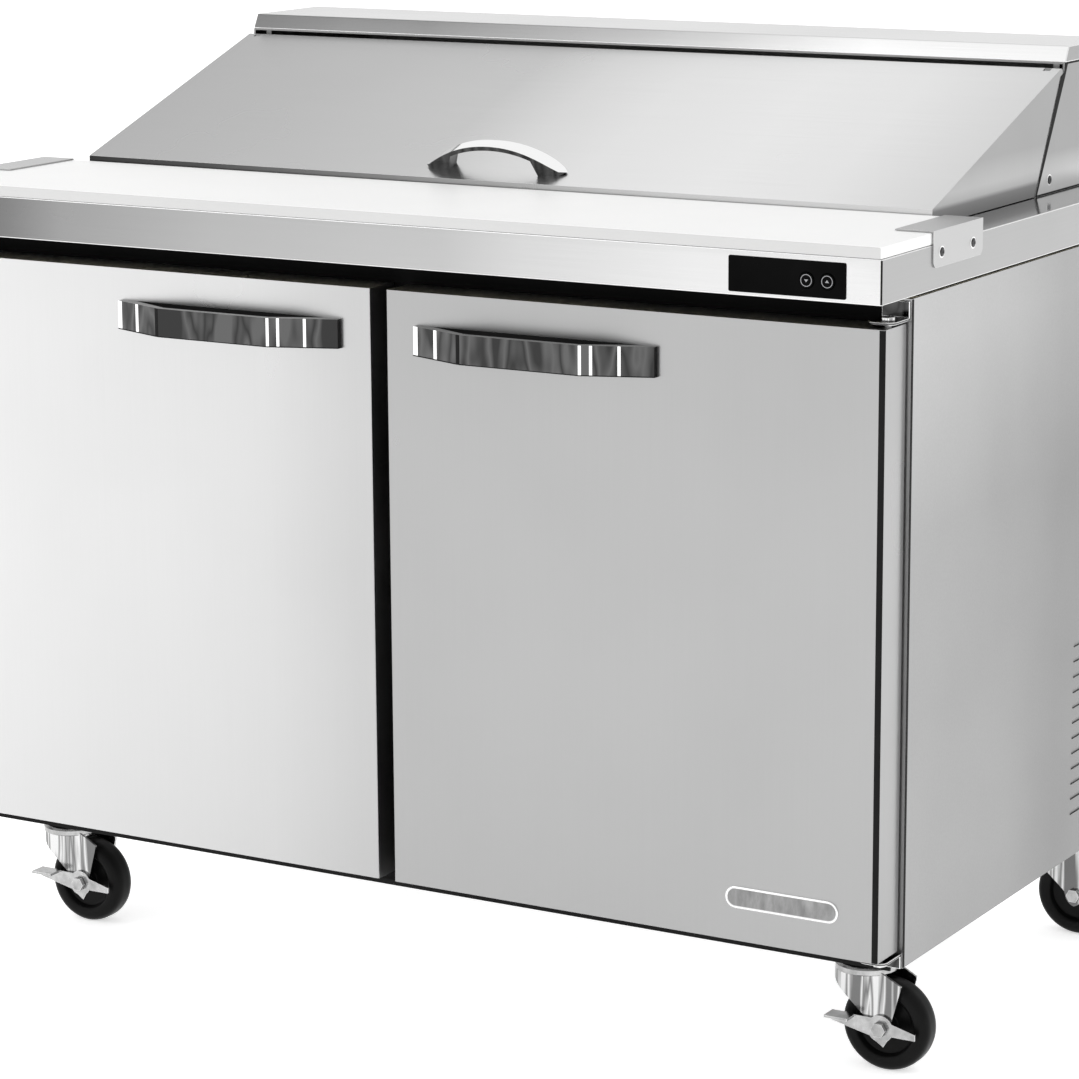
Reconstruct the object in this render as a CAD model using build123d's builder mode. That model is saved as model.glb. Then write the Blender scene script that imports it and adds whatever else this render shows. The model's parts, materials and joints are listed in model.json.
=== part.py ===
"""Two-door sandwich prep table: refrigerated base on casters, pan rail under a hinged lid, cutting board.

Frame: millimetres, +X to the operator's right, -Y towards the operator, +Z up.
The origin is the centre of the footprint, on the floor.
"""
import math
import os

from build123d import *

os.makedirs("parts", exist_ok=True)

# ---------------------------------------------------------------- driving dimensions
SHEET = 2.0                      # folded sheet metal
TOP_HALF = 609.5                 # half the worktop's width
CASE_HALF = 606.5                # half the cabinet's width
FASCIA_Y = -369.0                # front of the worktop's front edge
CASE_FRONT = -290.0
CASE_BACK = 374.0
CASE_BOTTOM = 140.0
CASE_TOP = 848.0
FASCIA_BOTTOM = 851.5
TOP_Z = 898.0                    # worktop surface

DOOR_FRONT = -343.0
DOOR_BACK = -293.0
DOOR_BOTTOM = 159.0
DOOR_TOP = 823.0
DOOR_INNER = 10.5                # gap between the doors is twice this
DOOR_OUTER = 601.5
HINGE_X = 593.0                  # door pivot
HINGE_Y = -318.0
HINGE_PIN_R = 4.0
RUNNING = 0.05                   # radial clearance of every shaft in its hole

BAY_INNER = 28.0                 # half width of the mullion between the door openings
BAY_OUTER = 558.0
BAY_BOTTOM = 189.0
BAY_TOP = 800.0
LINER_HALF = 560.0
LINER_STEP_Y = 110.0             # back of the low part of the storage space
LINER_BACK = 330.0               # back of the high part
LINER_STEP_Z = 470.0
LINER_TOP = 812.0
MACHINE_Y = 150.0                # front of the machine compartment
MACHINE_TOP = 430.0

WELL_HALF = 529.0                # pan opening in the worktop
WELL_FRONT = -105.0
WELL_BACK = 221.0
PAN_COLUMNS = 6
PAN_ROWS = 2
PAN_DEPTH = 150.0
BAR_WIDTH = 16.0

BOARD_T = 12.0
BOARD_BACK = -124.0
BOARD_LIFT = 0.3                 # running gap under and around the board

LID_HALF = 549.7
LID_FRONT = -119.5
LIP_TOP = 916.0
LID_BACK_Z = 1038.0
LID_SLOPE = math.atan2(LID_BACK_Z - LIP_TOP, 227.7 - LID_FRONT)
PIVOT_Y = 222.0                  # lid pivot, under the cap's front edge
PIVOT_Z = 1031.0
BARREL_R = 4.7
LID_PIN_R = 3.0
SPLIT_Y = 153.0                  # foot of the joint between lid and hood

CAP_HALF = 550.6
CAP_FRONT = 232.0
CAP_BOTTOM = 1041.7
CAP_TOP = 1059.3
CAP_BACK = 377.7
CAP_RAKE = 9.4                   # how far the cap's front face leans back

CASTER_X = 532.0
CASTER_FRONT_Y = -219.0
CASTER_REAR_Y = 316.0
TRAIL = 28.0
WHEEL_R = 50.8
WHEEL_WIDTH = 32.0
AXLE_R = 5.0

PAN_PITCH_X = 2 * WELL_HALF / PAN_COLUMNS
PAN_PITCH_Y = (WELL_BACK - WELL_FRONT) / PAN_ROWS
WELL_MID = (WELL_FRONT + WELL_BACK) / 2


def block(x0, x1, y0, y1, z0, z1, mode=Mode.ADD):
    """A rectangular block between six planes, added to the part being built."""
    with Locations(((x0 + x1) / 2, (y0 + y1) / 2, (z0 + z1) / 2)):
        Box(x1 - x0, y1 - y0, z1 - z0, mode=mode)


def side_plane(x):
    """A sketch plane whose local axes are Y and Z, facing +X."""
    return Plane(origin=(x, 0, 0), x_dir=(0, 1, 0), z_dir=(1, 0, 0))


def front_plane(y):
    """A sketch plane whose local axes are X and Z, facing -Y."""
    return Plane(origin=(0, y, 0), x_dir=(1, 0, 0), z_dir=(0, -1, 0))


# ---------------------------------------------------------------- cabinet
with BuildPart() as side_panels:
    for side in (-1, 1):
        inner = side * (CASE_HALF - SHEET)
        outer = side * CASE_HALF
        lip = side * 592.0
        block(min(inner, outer), max(inner, outer), CASE_FRONT, CASE_BACK, CASE_BOTTOM, CASE_TOP)
        block(min(lip, outer), max(lip, outer), CASE_FRONT, CASE_FRONT + SHEET, CASE_BOTTOM, CASE_TOP)
    with BuildSketch(side_plane(-620)):
        for column in (184.0, 246.0, 308.0):
            with Locations((column, 292.0)):
                with GridLocations(1.0, 18.0, 1, 12):
                    SlotOverall(48.0, 5.0)
    extrude(amount=1240, mode=Mode.SUBTRACT)
side_panels.part.label = "side_panels"
export_step(side_panels.part, "parts/side_panels.step")

with BuildPart() as back_panel:
    block(-604.0, 604.0, CASE_BACK - SHEET, CASE_BACK, MACHINE_TOP, CASE_TOP)
back_panel.part.label = "back_panel"
export_step(back_panel.part, "parts/back_panel.step")

CASTER_POINTS = [
    (-CASTER_X, CASTER_FRONT_Y),
    (CASTER_X, CASTER_FRONT_Y),
    (-CASTER_X, CASTER_REAR_Y),
    (CASTER_X, CASTER_REAR_Y),
]
CASTER_BOLT_X = 76.0
CASTER_BOLT_Y = 62.0
CASTER_BOLT_R = 4.0

with BuildPart() as base_pan:
    block(-604.0, 604.0, CASE_FRONT + 16, CASE_BACK - SHEET, CASE_BOTTOM, CASE_BOTTOM + SHEET)
    with BuildSketch(Plane.XY.offset(CASE_BOTTOM)):
        with Locations(*CASTER_POINTS):
            with GridLocations(CASTER_BOLT_X, CASTER_BOLT_Y, 2, 2):
                Circle(CASTER_BOLT_R)
    extrude(amount=SHEET, mode=Mode.SUBTRACT)
base_pan.part.label = "base_pan"
export_step(base_pan.part, "parts/base_pan.step")

TOP_FOAM_HALF = 595.0            # foam between the cabinet and the worktop
TOP_FOAM_BACK = 359.0

with BuildPart() as insulation:
    block(-604.0, 604.0, CASE_FRONT + 16, CASE_BACK - SHEET, CASE_BOTTOM + 12, CASE_TOP)
    block(-LINER_HALF, LINER_HALF, CASE_FRONT + 15, LINER_STEP_Y, 187.0, LINER_TOP, Mode.SUBTRACT)
    block(-LINER_HALF, LINER_HALF, CASE_FRONT + 15, LINER_BACK, LINER_STEP_Z, LINER_TOP, Mode.SUBTRACT)
    block(-604.0, 604.0, MACHINE_Y, CASE_BACK, CASE_BOTTOM, MACHINE_TOP, Mode.SUBTRACT)
    block(-TOP_FOAM_HALF, TOP_FOAM_HALF, CASE_FRONT + 16, TOP_FOAM_BACK, CASE_TOP, TOP_Z - SHEET - 0.1)
    block(
        -WELL_HALF - 4, WELL_HALF + 4, WELL_FRONT - 4, WELL_BACK + 4,
        LINER_TOP - 1, TOP_Z, Mode.SUBTRACT,
    )
insulation.part.label = "insulation"
export_step(insulation.part, "parts/insulation.step")

with BuildPart() as interior_liner:
    block(-LINER_HALF, LINER_HALF, CASE_FRONT + 16, LINER_STEP_Y, 187.0, LINER_TOP)
    block(-LINER_HALF, LINER_HALF, CASE_FRONT + 16, LINER_BACK, LINER_STEP_Z, LINER_TOP)
    block(-WELL_HALF - 4, WELL_HALF + 4, WELL_FRONT - 4, WELL_BACK + 4, LINER_TOP, TOP_Z - SHEET)
    block(
        -BAY_OUTER, BAY_OUTER, CASE_FRONT + 15, LINER_STEP_Y - SHEET,
        BAY_BOTTOM, LINER_TOP - SHEET, Mode.SUBTRACT,
    )
    block(
        -BAY_OUTER, BAY_OUTER, CASE_FRONT + 15, LINER_BACK - SHEET,
        LINER_STEP_Z + SHEET, LINER_TOP - SHEET, Mode.SUBTRACT,
    )
    block(
        -WELL_HALF - 2, WELL_HALF + 2, WELL_FRONT - 2, WELL_BACK + 2,
        LINER_TOP - 5, TOP_Z, Mode.SUBTRACT,
    )
interior_liner.part.label = "interior_liner"
export_step(interior_liner.part, "parts/interior_liner.step")

with BuildPart() as front_frame:
    block(-591.7, 591.7, CASE_FRONT, CASE_FRONT + 16, CASE_BOTTOM, CASE_TOP - 1)
    for side in (-1, 1):
        near, far = sorted((side * BAY_INNER, side * BAY_OUTER))
        block(near, far, CASE_FRONT - 1, CASE_FRONT + 20, BAY_BOTTOM, BAY_TOP, Mode.SUBTRACT)
front_frame.part.label = "front_frame"
export_step(front_frame.part, "parts/front_frame.step")

# ---------------------------------------------------------------- worktop and pans
CONTROL_X = 504.8
CONTROL_Z = 873.7
CONTROL_W = 131.6
CONTROL_H = 37.0
CONTROL_BODY_W = 121.0
CONTROL_BODY_H = 27.0

with BuildPart() as worktop:
    block(-TOP_HALF, TOP_HALF, FASCIA_Y, CASE_BACK, FASCIA_BOTTOM, TOP_Z)
    block(
        -TOP_HALF + SHEET, TOP_HALF - SHEET, FASCIA_Y + SHEET, CASE_BACK - SHEET,
        FASCIA_BOTTOM + SHEET, TOP_Z - SHEET, Mode.SUBTRACT,
    )
    block(
        -TOP_HALF + 14, TOP_HALF - 14, FASCIA_Y + 14, CASE_BACK - 14,
        FASCIA_BOTTOM - 1, FASCIA_BOTTOM + 5, Mode.SUBTRACT,
    )
    block(-WELL_HALF, WELL_HALF, WELL_FRONT, WELL_BACK, TOP_Z - 5, TOP_Z + 1, Mode.SUBTRACT)
    block(
        CONTROL_X - CONTROL_BODY_W / 2, CONTROL_X + CONTROL_BODY_W / 2, FASCIA_Y - 1, FASCIA_Y + 5,
        CONTROL_Z - CONTROL_BODY_H / 2, CONTROL_Z + CONTROL_BODY_H / 2, Mode.SUBTRACT,
    )
    corners = worktop.edges().filter_by(Axis.Z).filter_by(
        lambda e: abs(e.center().X) > TOP_HALF - 0.1 and e.length > 40
    )
    fillet(corners, radius=1.8)
worktop.part.label = "worktop"
export_step(worktop.part, "parts/worktop.step")

with BuildPart() as pan_divider_bars:
    block(-WELL_HALF, WELL_HALF, WELL_MID - BAR_WIDTH / 2, WELL_MID + BAR_WIDTH / 2, TOP_Z - 6, TOP_Z)
    for column in range(1, PAN_COLUMNS):
        bar_x = -WELL_HALF + column * PAN_PITCH_X
        for y0, y1 in ((WELL_FRONT, WELL_MID - BAR_WIDTH / 2), (WELL_MID + BAR_WIDTH / 2, WELL_BACK)):
            block(bar_x - BAR_WIDTH / 2, bar_x + BAR_WIDTH / 2, y0, y1, TOP_Z - 6, TOP_Z)
pan_divider_bars.part.label = "pan_divider_bars"
export_step(pan_divider_bars.part, "parts/pan_divider_bars.step")

PAN_FLANGE_X = PAN_PITCH_X - 1.4
PAN_FLANGE_Y = PAN_PITCH_Y - 1.4
PAN_BODY_X = PAN_PITCH_X - BAR_WIDTH - 4
PAN_BODY_Y = PAN_PITCH_Y - BAR_WIDTH - 4
PAN_TAPER = 3.0
PAN_WALL = 1.5

with BuildPart() as food_pans:
    with BuildSketch(Plane.XY.offset(TOP_Z)):
        with Locations((0, WELL_MID)):
            with GridLocations(PAN_PITCH_X, PAN_PITCH_Y, PAN_COLUMNS, PAN_ROWS):
                RectangleRounded(PAN_FLANGE_X, PAN_FLANGE_Y, 12)
    extrude(amount=PAN_WALL)
    with BuildSketch(Plane.XY.offset(TOP_Z)):
        with Locations((0, WELL_MID)):
            with GridLocations(PAN_PITCH_X, PAN_PITCH_Y, PAN_COLUMNS, PAN_ROWS):
                RectangleRounded(PAN_BODY_X, PAN_BODY_Y, 22)
    extrude(amount=-PAN_DEPTH, taper=PAN_TAPER)
    with BuildSketch(Plane.XY.offset(TOP_Z + PAN_WALL)):
        with Locations((0, WELL_MID)):
            with GridLocations(PAN_PITCH_X, PAN_PITCH_Y, PAN_COLUMNS, PAN_ROWS):
                RectangleRounded(PAN_BODY_X - 2 * PAN_WALL, PAN_BODY_Y - 2 * PAN_WALL, 20)
    extrude(amount=-PAN_DEPTH, taper=PAN_TAPER, mode=Mode.SUBTRACT)
food_pans.part.label = "food_pans"
export_step(food_pans.part, "parts/food_pans.step")

with BuildPart() as cutting_board:
    block(
        -TOP_HALF + 1, TOP_HALF - 1, FASCIA_Y, BOARD_BACK,
        TOP_Z + BOARD_LIFT, TOP_Z + BOARD_LIFT + BOARD_T,
    )
    fillet(cutting_board.edges().filter_by(Axis.Z), radius=3)
    fillet(cutting_board.faces().sort_by(Axis.Z)[-1].edges(), radius=1.2)
cutting_board.part.label = "cutting_board"
export_step(cutting_board.part, "parts/cutting_board.step")

BRACKET_T = 1.6
BRACKET_FRONT = -250.0
BRACKET_BACK = -127.0
BRACKET_BOTTOM = TOP_Z - 24
BRACKET_TOP = TOP_Z + BOARD_LIFT + BOARD_T + 0.4
BRACKET_REACH = 42.0
BRACKET_SCREWS = ((-230.0, TOP_Z - 9), (-152.0, TOP_Z - 9))
HOOD_SCREWS = ((194.8, 913.8), (340.0, 913.8))
SCREW_R = 2.5

with BuildPart() as board_brackets:
    for side in (-1, 1):
        face_x = side * TOP_HALF
        out_x = side * (TOP_HALF + BRACKET_T)
        tip_x = side * (TOP_HALF - BRACKET_REACH)
        block(
            min(face_x, out_x), max(face_x, out_x), BRACKET_FRONT, BRACKET_BACK,
            BRACKET_BOTTOM, BRACKET_TOP + BRACKET_T,
        )
        block(
            min(tip_x, out_x), max(tip_x, out_x), BRACKET_FRONT, BRACKET_BACK,
            BRACKET_TOP, BRACKET_TOP + BRACKET_T,
        )
    corners = board_brackets.edges().filter_by(Axis.X).filter_by(
        lambda e: e.center().Z < BRACKET_BOTTOM + 1
    )
    fillet(corners, radius=8)
    with BuildSketch(side_plane(-620)):
        with Locations(*BRACKET_SCREWS):
            Circle(SCREW_R)
    extrude(amount=1240, mode=Mode.SUBTRACT)
board_brackets.part.label = "board_brackets"
export_step(board_brackets.part, "parts/board_brackets.step")

# ---------------------------------------------------------------- hood over the pans
SPLIT_GAP = 1.2
EAR_OUTER = 538.7
EAR_INNER = 531.3

with BuildPart() as hood_shell:
    with BuildSketch(side_plane(-LID_HALF)):
        with BuildLine():
            Polyline(
                (SPLIT_Y + SPLIT_GAP, TOP_Z),
                (CASE_BACK, TOP_Z),
                (CASE_BACK, CAP_BOTTOM),
                (CAP_FRONT, CAP_BOTTOM),
                (CAP_FRONT - 1.5, PIVOT_Z),
                (PIVOT_Y - 2 + SPLIT_GAP, PIVOT_Z - 4),
                (SPLIT_Y + SPLIT_GAP, TOP_Z),
            )
        make_face()
    extrude(amount=2 * LID_HALF)
    block(
        -LID_HALF + SHEET, LID_HALF - SHEET, 100.0, CASE_BACK - SHEET,
        TOP_Z - 1, CAP_BOTTOM - SHEET, Mode.SUBTRACT,
    )
    with BuildSketch(side_plane(-620)):
        with Locations((PIVOT_Y, PIVOT_Z)):
            Circle(BARREL_R + 0.6)
    extrude(amount=1240, mode=Mode.SUBTRACT)
    for side in (-1, 1):
        x0, x1 = sorted((side * EAR_INNER, side * EAR_OUTER))
        block(x0, x1, PIVOT_Y, 262.0, PIVOT_Z - 4, PIVOT_Z + 3)
        block(x0, x1, 243.0, 262.0, PIVOT_Z + 3, CAP_BOTTOM - SHEET)
        with BuildSketch(side_plane(x0)):
            with Locations((PIVOT_Y, PIVOT_Z)):
                Circle(BARREL_R)
        extrude(amount=x1 - x0)
    with BuildSketch(side_plane(-620)):
        with Locations((PIVOT_Y, PIVOT_Z)):
            Circle(LID_PIN_R)
        with Locations(*HOOD_SCREWS):
            Circle(SCREW_R)
    extrude(amount=1240, mode=Mode.SUBTRACT)
hood_shell.part.label = "hood_shell"
export_step(hood_shell.part, "parts/hood_shell.step")

with BuildPart() as hood_cap:
    with BuildSketch(side_plane(-CAP_HALF)):
        with BuildLine():
            Polyline(
                (CAP_FRONT, CAP_BOTTOM),
                (CAP_FRONT + CAP_RAKE, CAP_TOP),
                (CAP_BACK, CAP_TOP),
                (CAP_BACK, CAP_BOTTOM),
                (CAP_FRONT, CAP_BOTTOM),
            )
        make_face()
    extrude(amount=2 * CAP_HALF)
    fillet(hood_cap.faces().sort_by(Axis.Z)[-1].edges().filter_by(Axis.X), radius=2.5)
    with BuildSketch(side_plane(-CAP_HALF + SHEET)):
        with BuildLine():
            Polyline(
                (CAP_FRONT + 5, CAP_BOTTOM - 1),
                (CAP_FRONT + CAP_RAKE + 3, CAP_TOP - SHEET),
                (CAP_BACK - SHEET, CAP_TOP - SHEET),
                (CAP_BACK - SHEET, CAP_BOTTOM - 1),
                (CAP_FRONT + 5, CAP_BOTTOM - 1),
            )
        make_face()
    extrude(amount=2 * (CAP_HALF - SHEET), mode=Mode.SUBTRACT)
hood_cap.part.label = "hood_cap"
export_step(hood_cap.part, "parts/hood_cap.step")

with BuildPart() as panel_screws:
    for side in (-1, 1):
        for wall, points in ((TOP_HALF + BRACKET_T, BRACKET_SCREWS), (LID_HALF, HOOD_SCREWS)):
            outward = Plane(origin=(side * wall, 0, 0), x_dir=(0, 1, 0), z_dir=(side, 0, 0))
            with BuildSketch(outward):
                with Locations(*[(y, side * z) for y, z in points]):
                    Circle(4.2)
            extrude(amount=1.6)
            with BuildSketch(outward):
                with Locations(*[(y, side * z) for y, z in points]):
                    Circle(SCREW_R)
            extrude(amount=-BRACKET_T)
    fillet(panel_screws.edges().filter_by(GeomType.CIRCLE).filter_by(
        lambda e: abs(abs(e.center().X) - TOP_HALF - BRACKET_T - 1.6) < 0.01
        or abs(abs(e.center().X) - LID_HALF - 1.6) < 0.01
    ), radius=1.0)
panel_screws.part.label = "panel_screws"
export_step(panel_screws.part, "parts/panel_screws.step")

with BuildPart() as lid_hinge_pins:
    for side in (-1, 1):
        x0, x1 = sorted((side * 516.0, side * 547.0))
        with BuildSketch(side_plane(x0)):
            with Locations((PIVOT_Y, PIVOT_Z)):
                Circle(LID_PIN_R)
        extrude(amount=x1 - x0)
lid_hinge_pins.part.label = "lid_hinge_pins"
export_step(lid_hinge_pins.part, "parts/lid_hinge_pins.step")

# ---------------------------------------------------------------- lid
# Unit vectors of the lid's slope in the Y-Z plane: along it to the back, and out of its face.
along = Vector(math.cos(LID_SLOPE), math.sin(LID_SLOPE))
out = Vector(-math.sin(LID_SLOPE), math.cos(LID_SLOPE))
pivot = Vector(PIVOT_Y, PIVOT_Z)
tangent = pivot + out * BARREL_R
lip_edge = tangent - along * ((tangent.X - LID_FRONT) / along.X)
LID_SHEET = 1.5

with BuildPart() as lid_shell:
    with BuildSketch(side_plane(-LID_HALF)):
        with BuildLine():
            Polyline(
                (LID_FRONT, TOP_Z + 1),
                (LID_FRONT, lip_edge.Y),
                (tangent.X, tangent.Y),
                (PIVOT_Y, PIVOT_Z),
                (SPLIT_Y, TOP_Z + 1),
                (LID_FRONT, TOP_Z + 1),
            )
        make_face()
        with Locations((PIVOT_Y, PIVOT_Z)):
            Circle(BARREL_R)
    extrude(amount=2 * LID_HALF)
    inner_lip = lip_edge - out * LID_SHEET + along * LID_SHEET
    inner_end = tangent - out * LID_SHEET - along * 8
    with BuildSketch(side_plane(-LID_HALF + SHEET)):
        with BuildLine():
            Polyline(
                (LID_FRONT + LID_SHEET, TOP_Z),
                (LID_FRONT + LID_SHEET, inner_lip.Y),
                (inner_end.X, inner_end.Y),
                (inner_end.X, TOP_Z),
                (LID_FRONT + LID_SHEET, TOP_Z),
            )
        make_face()
    extrude(amount=2 * (LID_HALF - SHEET), mode=Mode.SUBTRACT)
    with BuildSketch(side_plane(-LID_HALF + SHEET)):
        with BuildLine():
            Polyline(
                (inner_end.X - 0.5, inner_end.Y),
                tuple(pivot - out * LID_SHEET - along * 4.4)[:2],
                tuple(pivot - out * 6)[:2],
                (PIVOT_Y + 12, PIVOT_Z - 16),
                (PIVOT_Y, TOP_Z),
                (inner_end.X - 0.5, TOP_Z),
                (inner_end.X - 0.5, inner_end.Y),
            )
        make_face()
    extrude(amount=2 * (LID_HALF - SHEET), mode=Mode.SUBTRACT)
    for side in (-1, 1):
        x0, x1 = sorted((side * (EAR_INNER - 0.5), side * (EAR_OUTER + 0.5)))
        block(x0, x1, PIVOT_Y - 8, PIVOT_Y + 9, PIVOT_Z - 9, PIVOT_Z + 9, Mode.SUBTRACT)
    with BuildSketch(side_plane(-LID_HALF + SHEET + 0.2)):
        with Locations((PIVOT_Y, PIVOT_Z)):
            Circle(LID_PIN_R + RUNNING)
    extrude(amount=2 * (LID_HALF - SHEET - 0.2), mode=Mode.SUBTRACT)
lid_shell.part.label = "lid_shell"
export_step(lid_shell.part, "parts/lid_shell.step")

LINER_GAP = LID_SHEET / math.cos(LID_SLOPE)
LINER_DROP = 20.0 / math.cos(LID_SLOPE)
RISE = math.tan(LID_SLOPE)
LID_LINER_BOTTOM = TOP_Z + 5


def lid_height(y):
    """Height of the lid's outer face at a distance y from the centre."""
    return lip_edge.Y + (y - LID_FRONT) * RISE


front_y = LID_FRONT + LID_SHEET + 0.2
back_y = PIVOT_Y - 18
low_y = LID_FRONT + (LID_LINER_BOTTOM + LINER_GAP + LINER_DROP - lip_edge.Y) / RISE
with BuildPart() as lid_liner:
    with BuildSketch(side_plane(-LID_HALF + 4)):
        with BuildLine():
            Polyline(
                (front_y, LID_LINER_BOTTOM),
                (low_y, LID_LINER_BOTTOM),
                (back_y, lid_height(back_y) - LINER_GAP - LINER_DROP),
                (back_y, lid_height(back_y) - LINER_GAP),
                (front_y, lid_height(front_y) - LINER_GAP),
                (front_y, LID_LINER_BOTTOM),
            )
        make_face()
    extrude(amount=2 * (LID_HALF - 4))
lid_liner.part.label = "lid_liner"
export_step(lid_liner.part, "parts/lid_liner.step")

# Lid handle: an arch in a plane square to the slope, with two flat feet.
HANDLE_HALF = 91.5
FOOT_LENGTH = 30.0
ARCH_HEIGHT = 36.0
handle_base = lip_edge + along * 30
handle_plane = Plane(
    origin=(0, handle_base.X, handle_base.Y), x_dir=(1, 0, 0), z_dir=(0, -along.X, -along.Y),
)
with BuildPart() as lid_handle:
    with BuildSketch(handle_plane):
        with BuildLine():
            Polyline((-HANDLE_HALF, 0), (-HANDLE_HALF, 5), (-HANDLE_HALF + 16, 11))
            ThreePointArc((-HANDLE_HALF + 16, 11), (0, ARCH_HEIGHT), (HANDLE_HALF - 16, 11))
            Polyline(
                (HANDLE_HALF - 16, 11), (HANDLE_HALF, 5), (HANDLE_HALF, 0), (HANDLE_HALF - FOOT_LENGTH, 0),
            )
            ThreePointArc(
                (HANDLE_HALF - FOOT_LENGTH, 0), (0, ARCH_HEIGHT - 8), (-HANDLE_HALF + FOOT_LENGTH, 0),
            )
            Line((-HANDLE_HALF + FOOT_LENGTH, 0), (-HANDLE_HALF, 0))
        make_face()
    extrude(amount=11, both=True)
    fillet(lid_handle.faces().sort_by(Axis.X)[0].edges().filter_by(
        lambda e: abs(e.center().X + HANDLE_HALF) < 0.1 and e.length < 6), radius=4)
    fillet(lid_handle.faces().sort_by(Axis.X)[-1].edges().filter_by(
        lambda e: abs(e.center().X - HANDLE_HALF) < 0.1 and e.length < 6), radius=4)
lid_handle.part.label = "lid_handle"
export_step(lid_handle.part, "parts/lid_handle.step")

# ---------------------------------------------------------------- doors
SKIN = 1.5
HANDLE_CENTRE = 195.5
HANDLE_LENGTH = 294.0
HANDLE_TOP = DOOR_TOP - 36
HANDLE_BOTTOM = DOOR_TOP - 68
HANDLE_STAND = 34.7
PIN_IN = 24.0                    # how far a hinge pin reaches into the door


def door_parts(name, side):
    """One door: outer skin, foamed core, magnetic gasket and bow handle."""
    x0, x1 = sorted((side * DOOR_INNER, side * DOOR_OUTER))
    with BuildPart() as skin:
        block(x0, x1, DOOR_FRONT, DOOR_BACK, DOOR_BOTTOM, DOOR_TOP)
        corners = skin.edges().filter_by(Axis.Z).filter_by(lambda e: e.center().Y < DOOR_FRONT + 1)
        fillet(corners, radius=2)
        block(
            x0 + SKIN, x1 - SKIN, DOOR_FRONT + SKIN, DOOR_BACK + 1,
            DOOR_BOTTOM + SKIN, DOOR_TOP - SKIN, Mode.SUBTRACT,
        )
        with BuildSketch(Plane.XY.offset(DOOR_BOTTOM - 1)):
            with Locations((side * HINGE_X, HINGE_Y)):
                Circle(HINGE_PIN_R + RUNNING)
        extrude(amount=DOOR_TOP - DOOR_BOTTOM + 2, mode=Mode.SUBTRACT)
    skin.part.label = f"{name}_skin"
    export_step(skin.part, f"parts/{name}_skin.step")

    with BuildPart() as core:
        block(
            x0 + SKIN, x1 - SKIN, DOOR_FRONT + SKIN + 0.6, DOOR_BACK,
            DOOR_BOTTOM + SKIN, DOOR_TOP - SKIN,
        )
        with BuildSketch(Plane.XY.offset(DOOR_TOP)):
            with Locations((side * HINGE_X, HINGE_Y)):
                Circle(HINGE_PIN_R + RUNNING)
        extrude(amount=-PIN_IN - 2, mode=Mode.SUBTRACT)
        with BuildSketch(Plane.XY.offset(DOOR_BOTTOM)):
            with Locations((side * HINGE_X, HINGE_Y)):
                Circle(HINGE_PIN_R + RUNNING)
        extrude(amount=PIN_IN + 2, mode=Mode.SUBTRACT)
    core.part.label = f"{name}_core"
    export_step(core.part, f"parts/{name}_core.step")

    gasket_near, gasket_far = sorted((side * 13.0, side * 590.0))
    with BuildPart() as gasket:
        block(gasket_near, gasket_far, DOOR_BACK, CASE_FRONT - 0.4, DOOR_BOTTOM + 3, DOOR_TOP - 3)
        block(
            gasket_near + 14, gasket_far - 14, DOOR_BACK - 1, CASE_FRONT + 1,
            DOOR_BOTTOM + 17, DOOR_TOP - 17, Mode.SUBTRACT,
        )
    gasket.part.label = f"{name}_gasket"
    export_step(gasket.part, f"parts/{name}_gasket.step")

    half = HANDLE_LENGTH / 2
    with BuildPart() as handle:
        with BuildSketch(Plane(origin=(side * HANDLE_CENTRE, DOOR_FRONT, HANDLE_BOTTOM))):
            with BuildLine():
                Polyline((-half, 0), (-half + 2, -14), (-half + 34, -31))
                ThreePointArc((-half + 34, -31), (0, -HANDLE_STAND), (half - 34, -31))
                Polyline((half - 34, -31), (half - 2, -14), (half, 0), (half - 16, 0), (half - 38, -22))
                ThreePointArc((half - 38, -22), (0, -HANDLE_STAND + 9), (-half + 38, -22))
                Polyline((-half + 38, -22), (-half + 16, 0), (-half, 0))
            make_face()
        extrude(amount=HANDLE_TOP - HANDLE_BOTTOM)
    handle.part.label = f"{name}_handle"
    export_step(handle.part, f"parts/{name}_handle.step")


door_parts("door_left", -1)
door_parts("door_right", 1)

with BuildPart() as door_badge:
    with BuildSketch(front_plane(DOOR_FRONT)):
        with Locations((491.0, 207.0)):
            SlotOverall(132.0, 24.0)
    extrude(amount=1.4)
door_badge.part.label = "door_badge"
export_step(door_badge.part, "parts/door_badge.step")

LEAF = 3.0
LEAF_IN = 574.0
LEAF_OUT = 605.0
LEAF_FRONT = -332.0
TOP_LEAF_Z = DOOR_TOP + 3
BOTTOM_LEAF_Z = DOOR_BOTTOM - 3 - LEAF

with BuildPart() as hinge_brackets:
    for side in (-1, 1):
        x0, x1 = sorted((side * LEAF_IN, side * LEAF_OUT))
        block(x0, x1, LEAF_FRONT, CASE_FRONT, TOP_LEAF_Z, TOP_LEAF_Z + LEAF)
        block(x0, x1, CASE_FRONT - LEAF, CASE_FRONT, TOP_LEAF_Z, CASE_TOP - 2)
        block(x0, x1, LEAF_FRONT, CASE_FRONT, BOTTOM_LEAF_Z, BOTTOM_LEAF_Z + LEAF)
        block(x0, x1, CASE_FRONT - LEAF, CASE_FRONT, CASE_BOTTOM, BOTTOM_LEAF_Z)
    fillet(hinge_brackets.edges().filter_by(Axis.Z).filter_by(
        lambda e: e.center().Y < LEAF_FRONT + 1), radius=9)
    with BuildSketch(Plane.XY.offset(CASE_BOTTOM)):
        with Locations((-HINGE_X, HINGE_Y), (HINGE_X, HINGE_Y)):
            Circle(HINGE_PIN_R)
    extrude(amount=CASE_TOP - CASE_BOTTOM, mode=Mode.SUBTRACT)
hinge_brackets.part.label = "hinge_brackets"
export_step(hinge_brackets.part, "parts/hinge_brackets.step")

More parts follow.
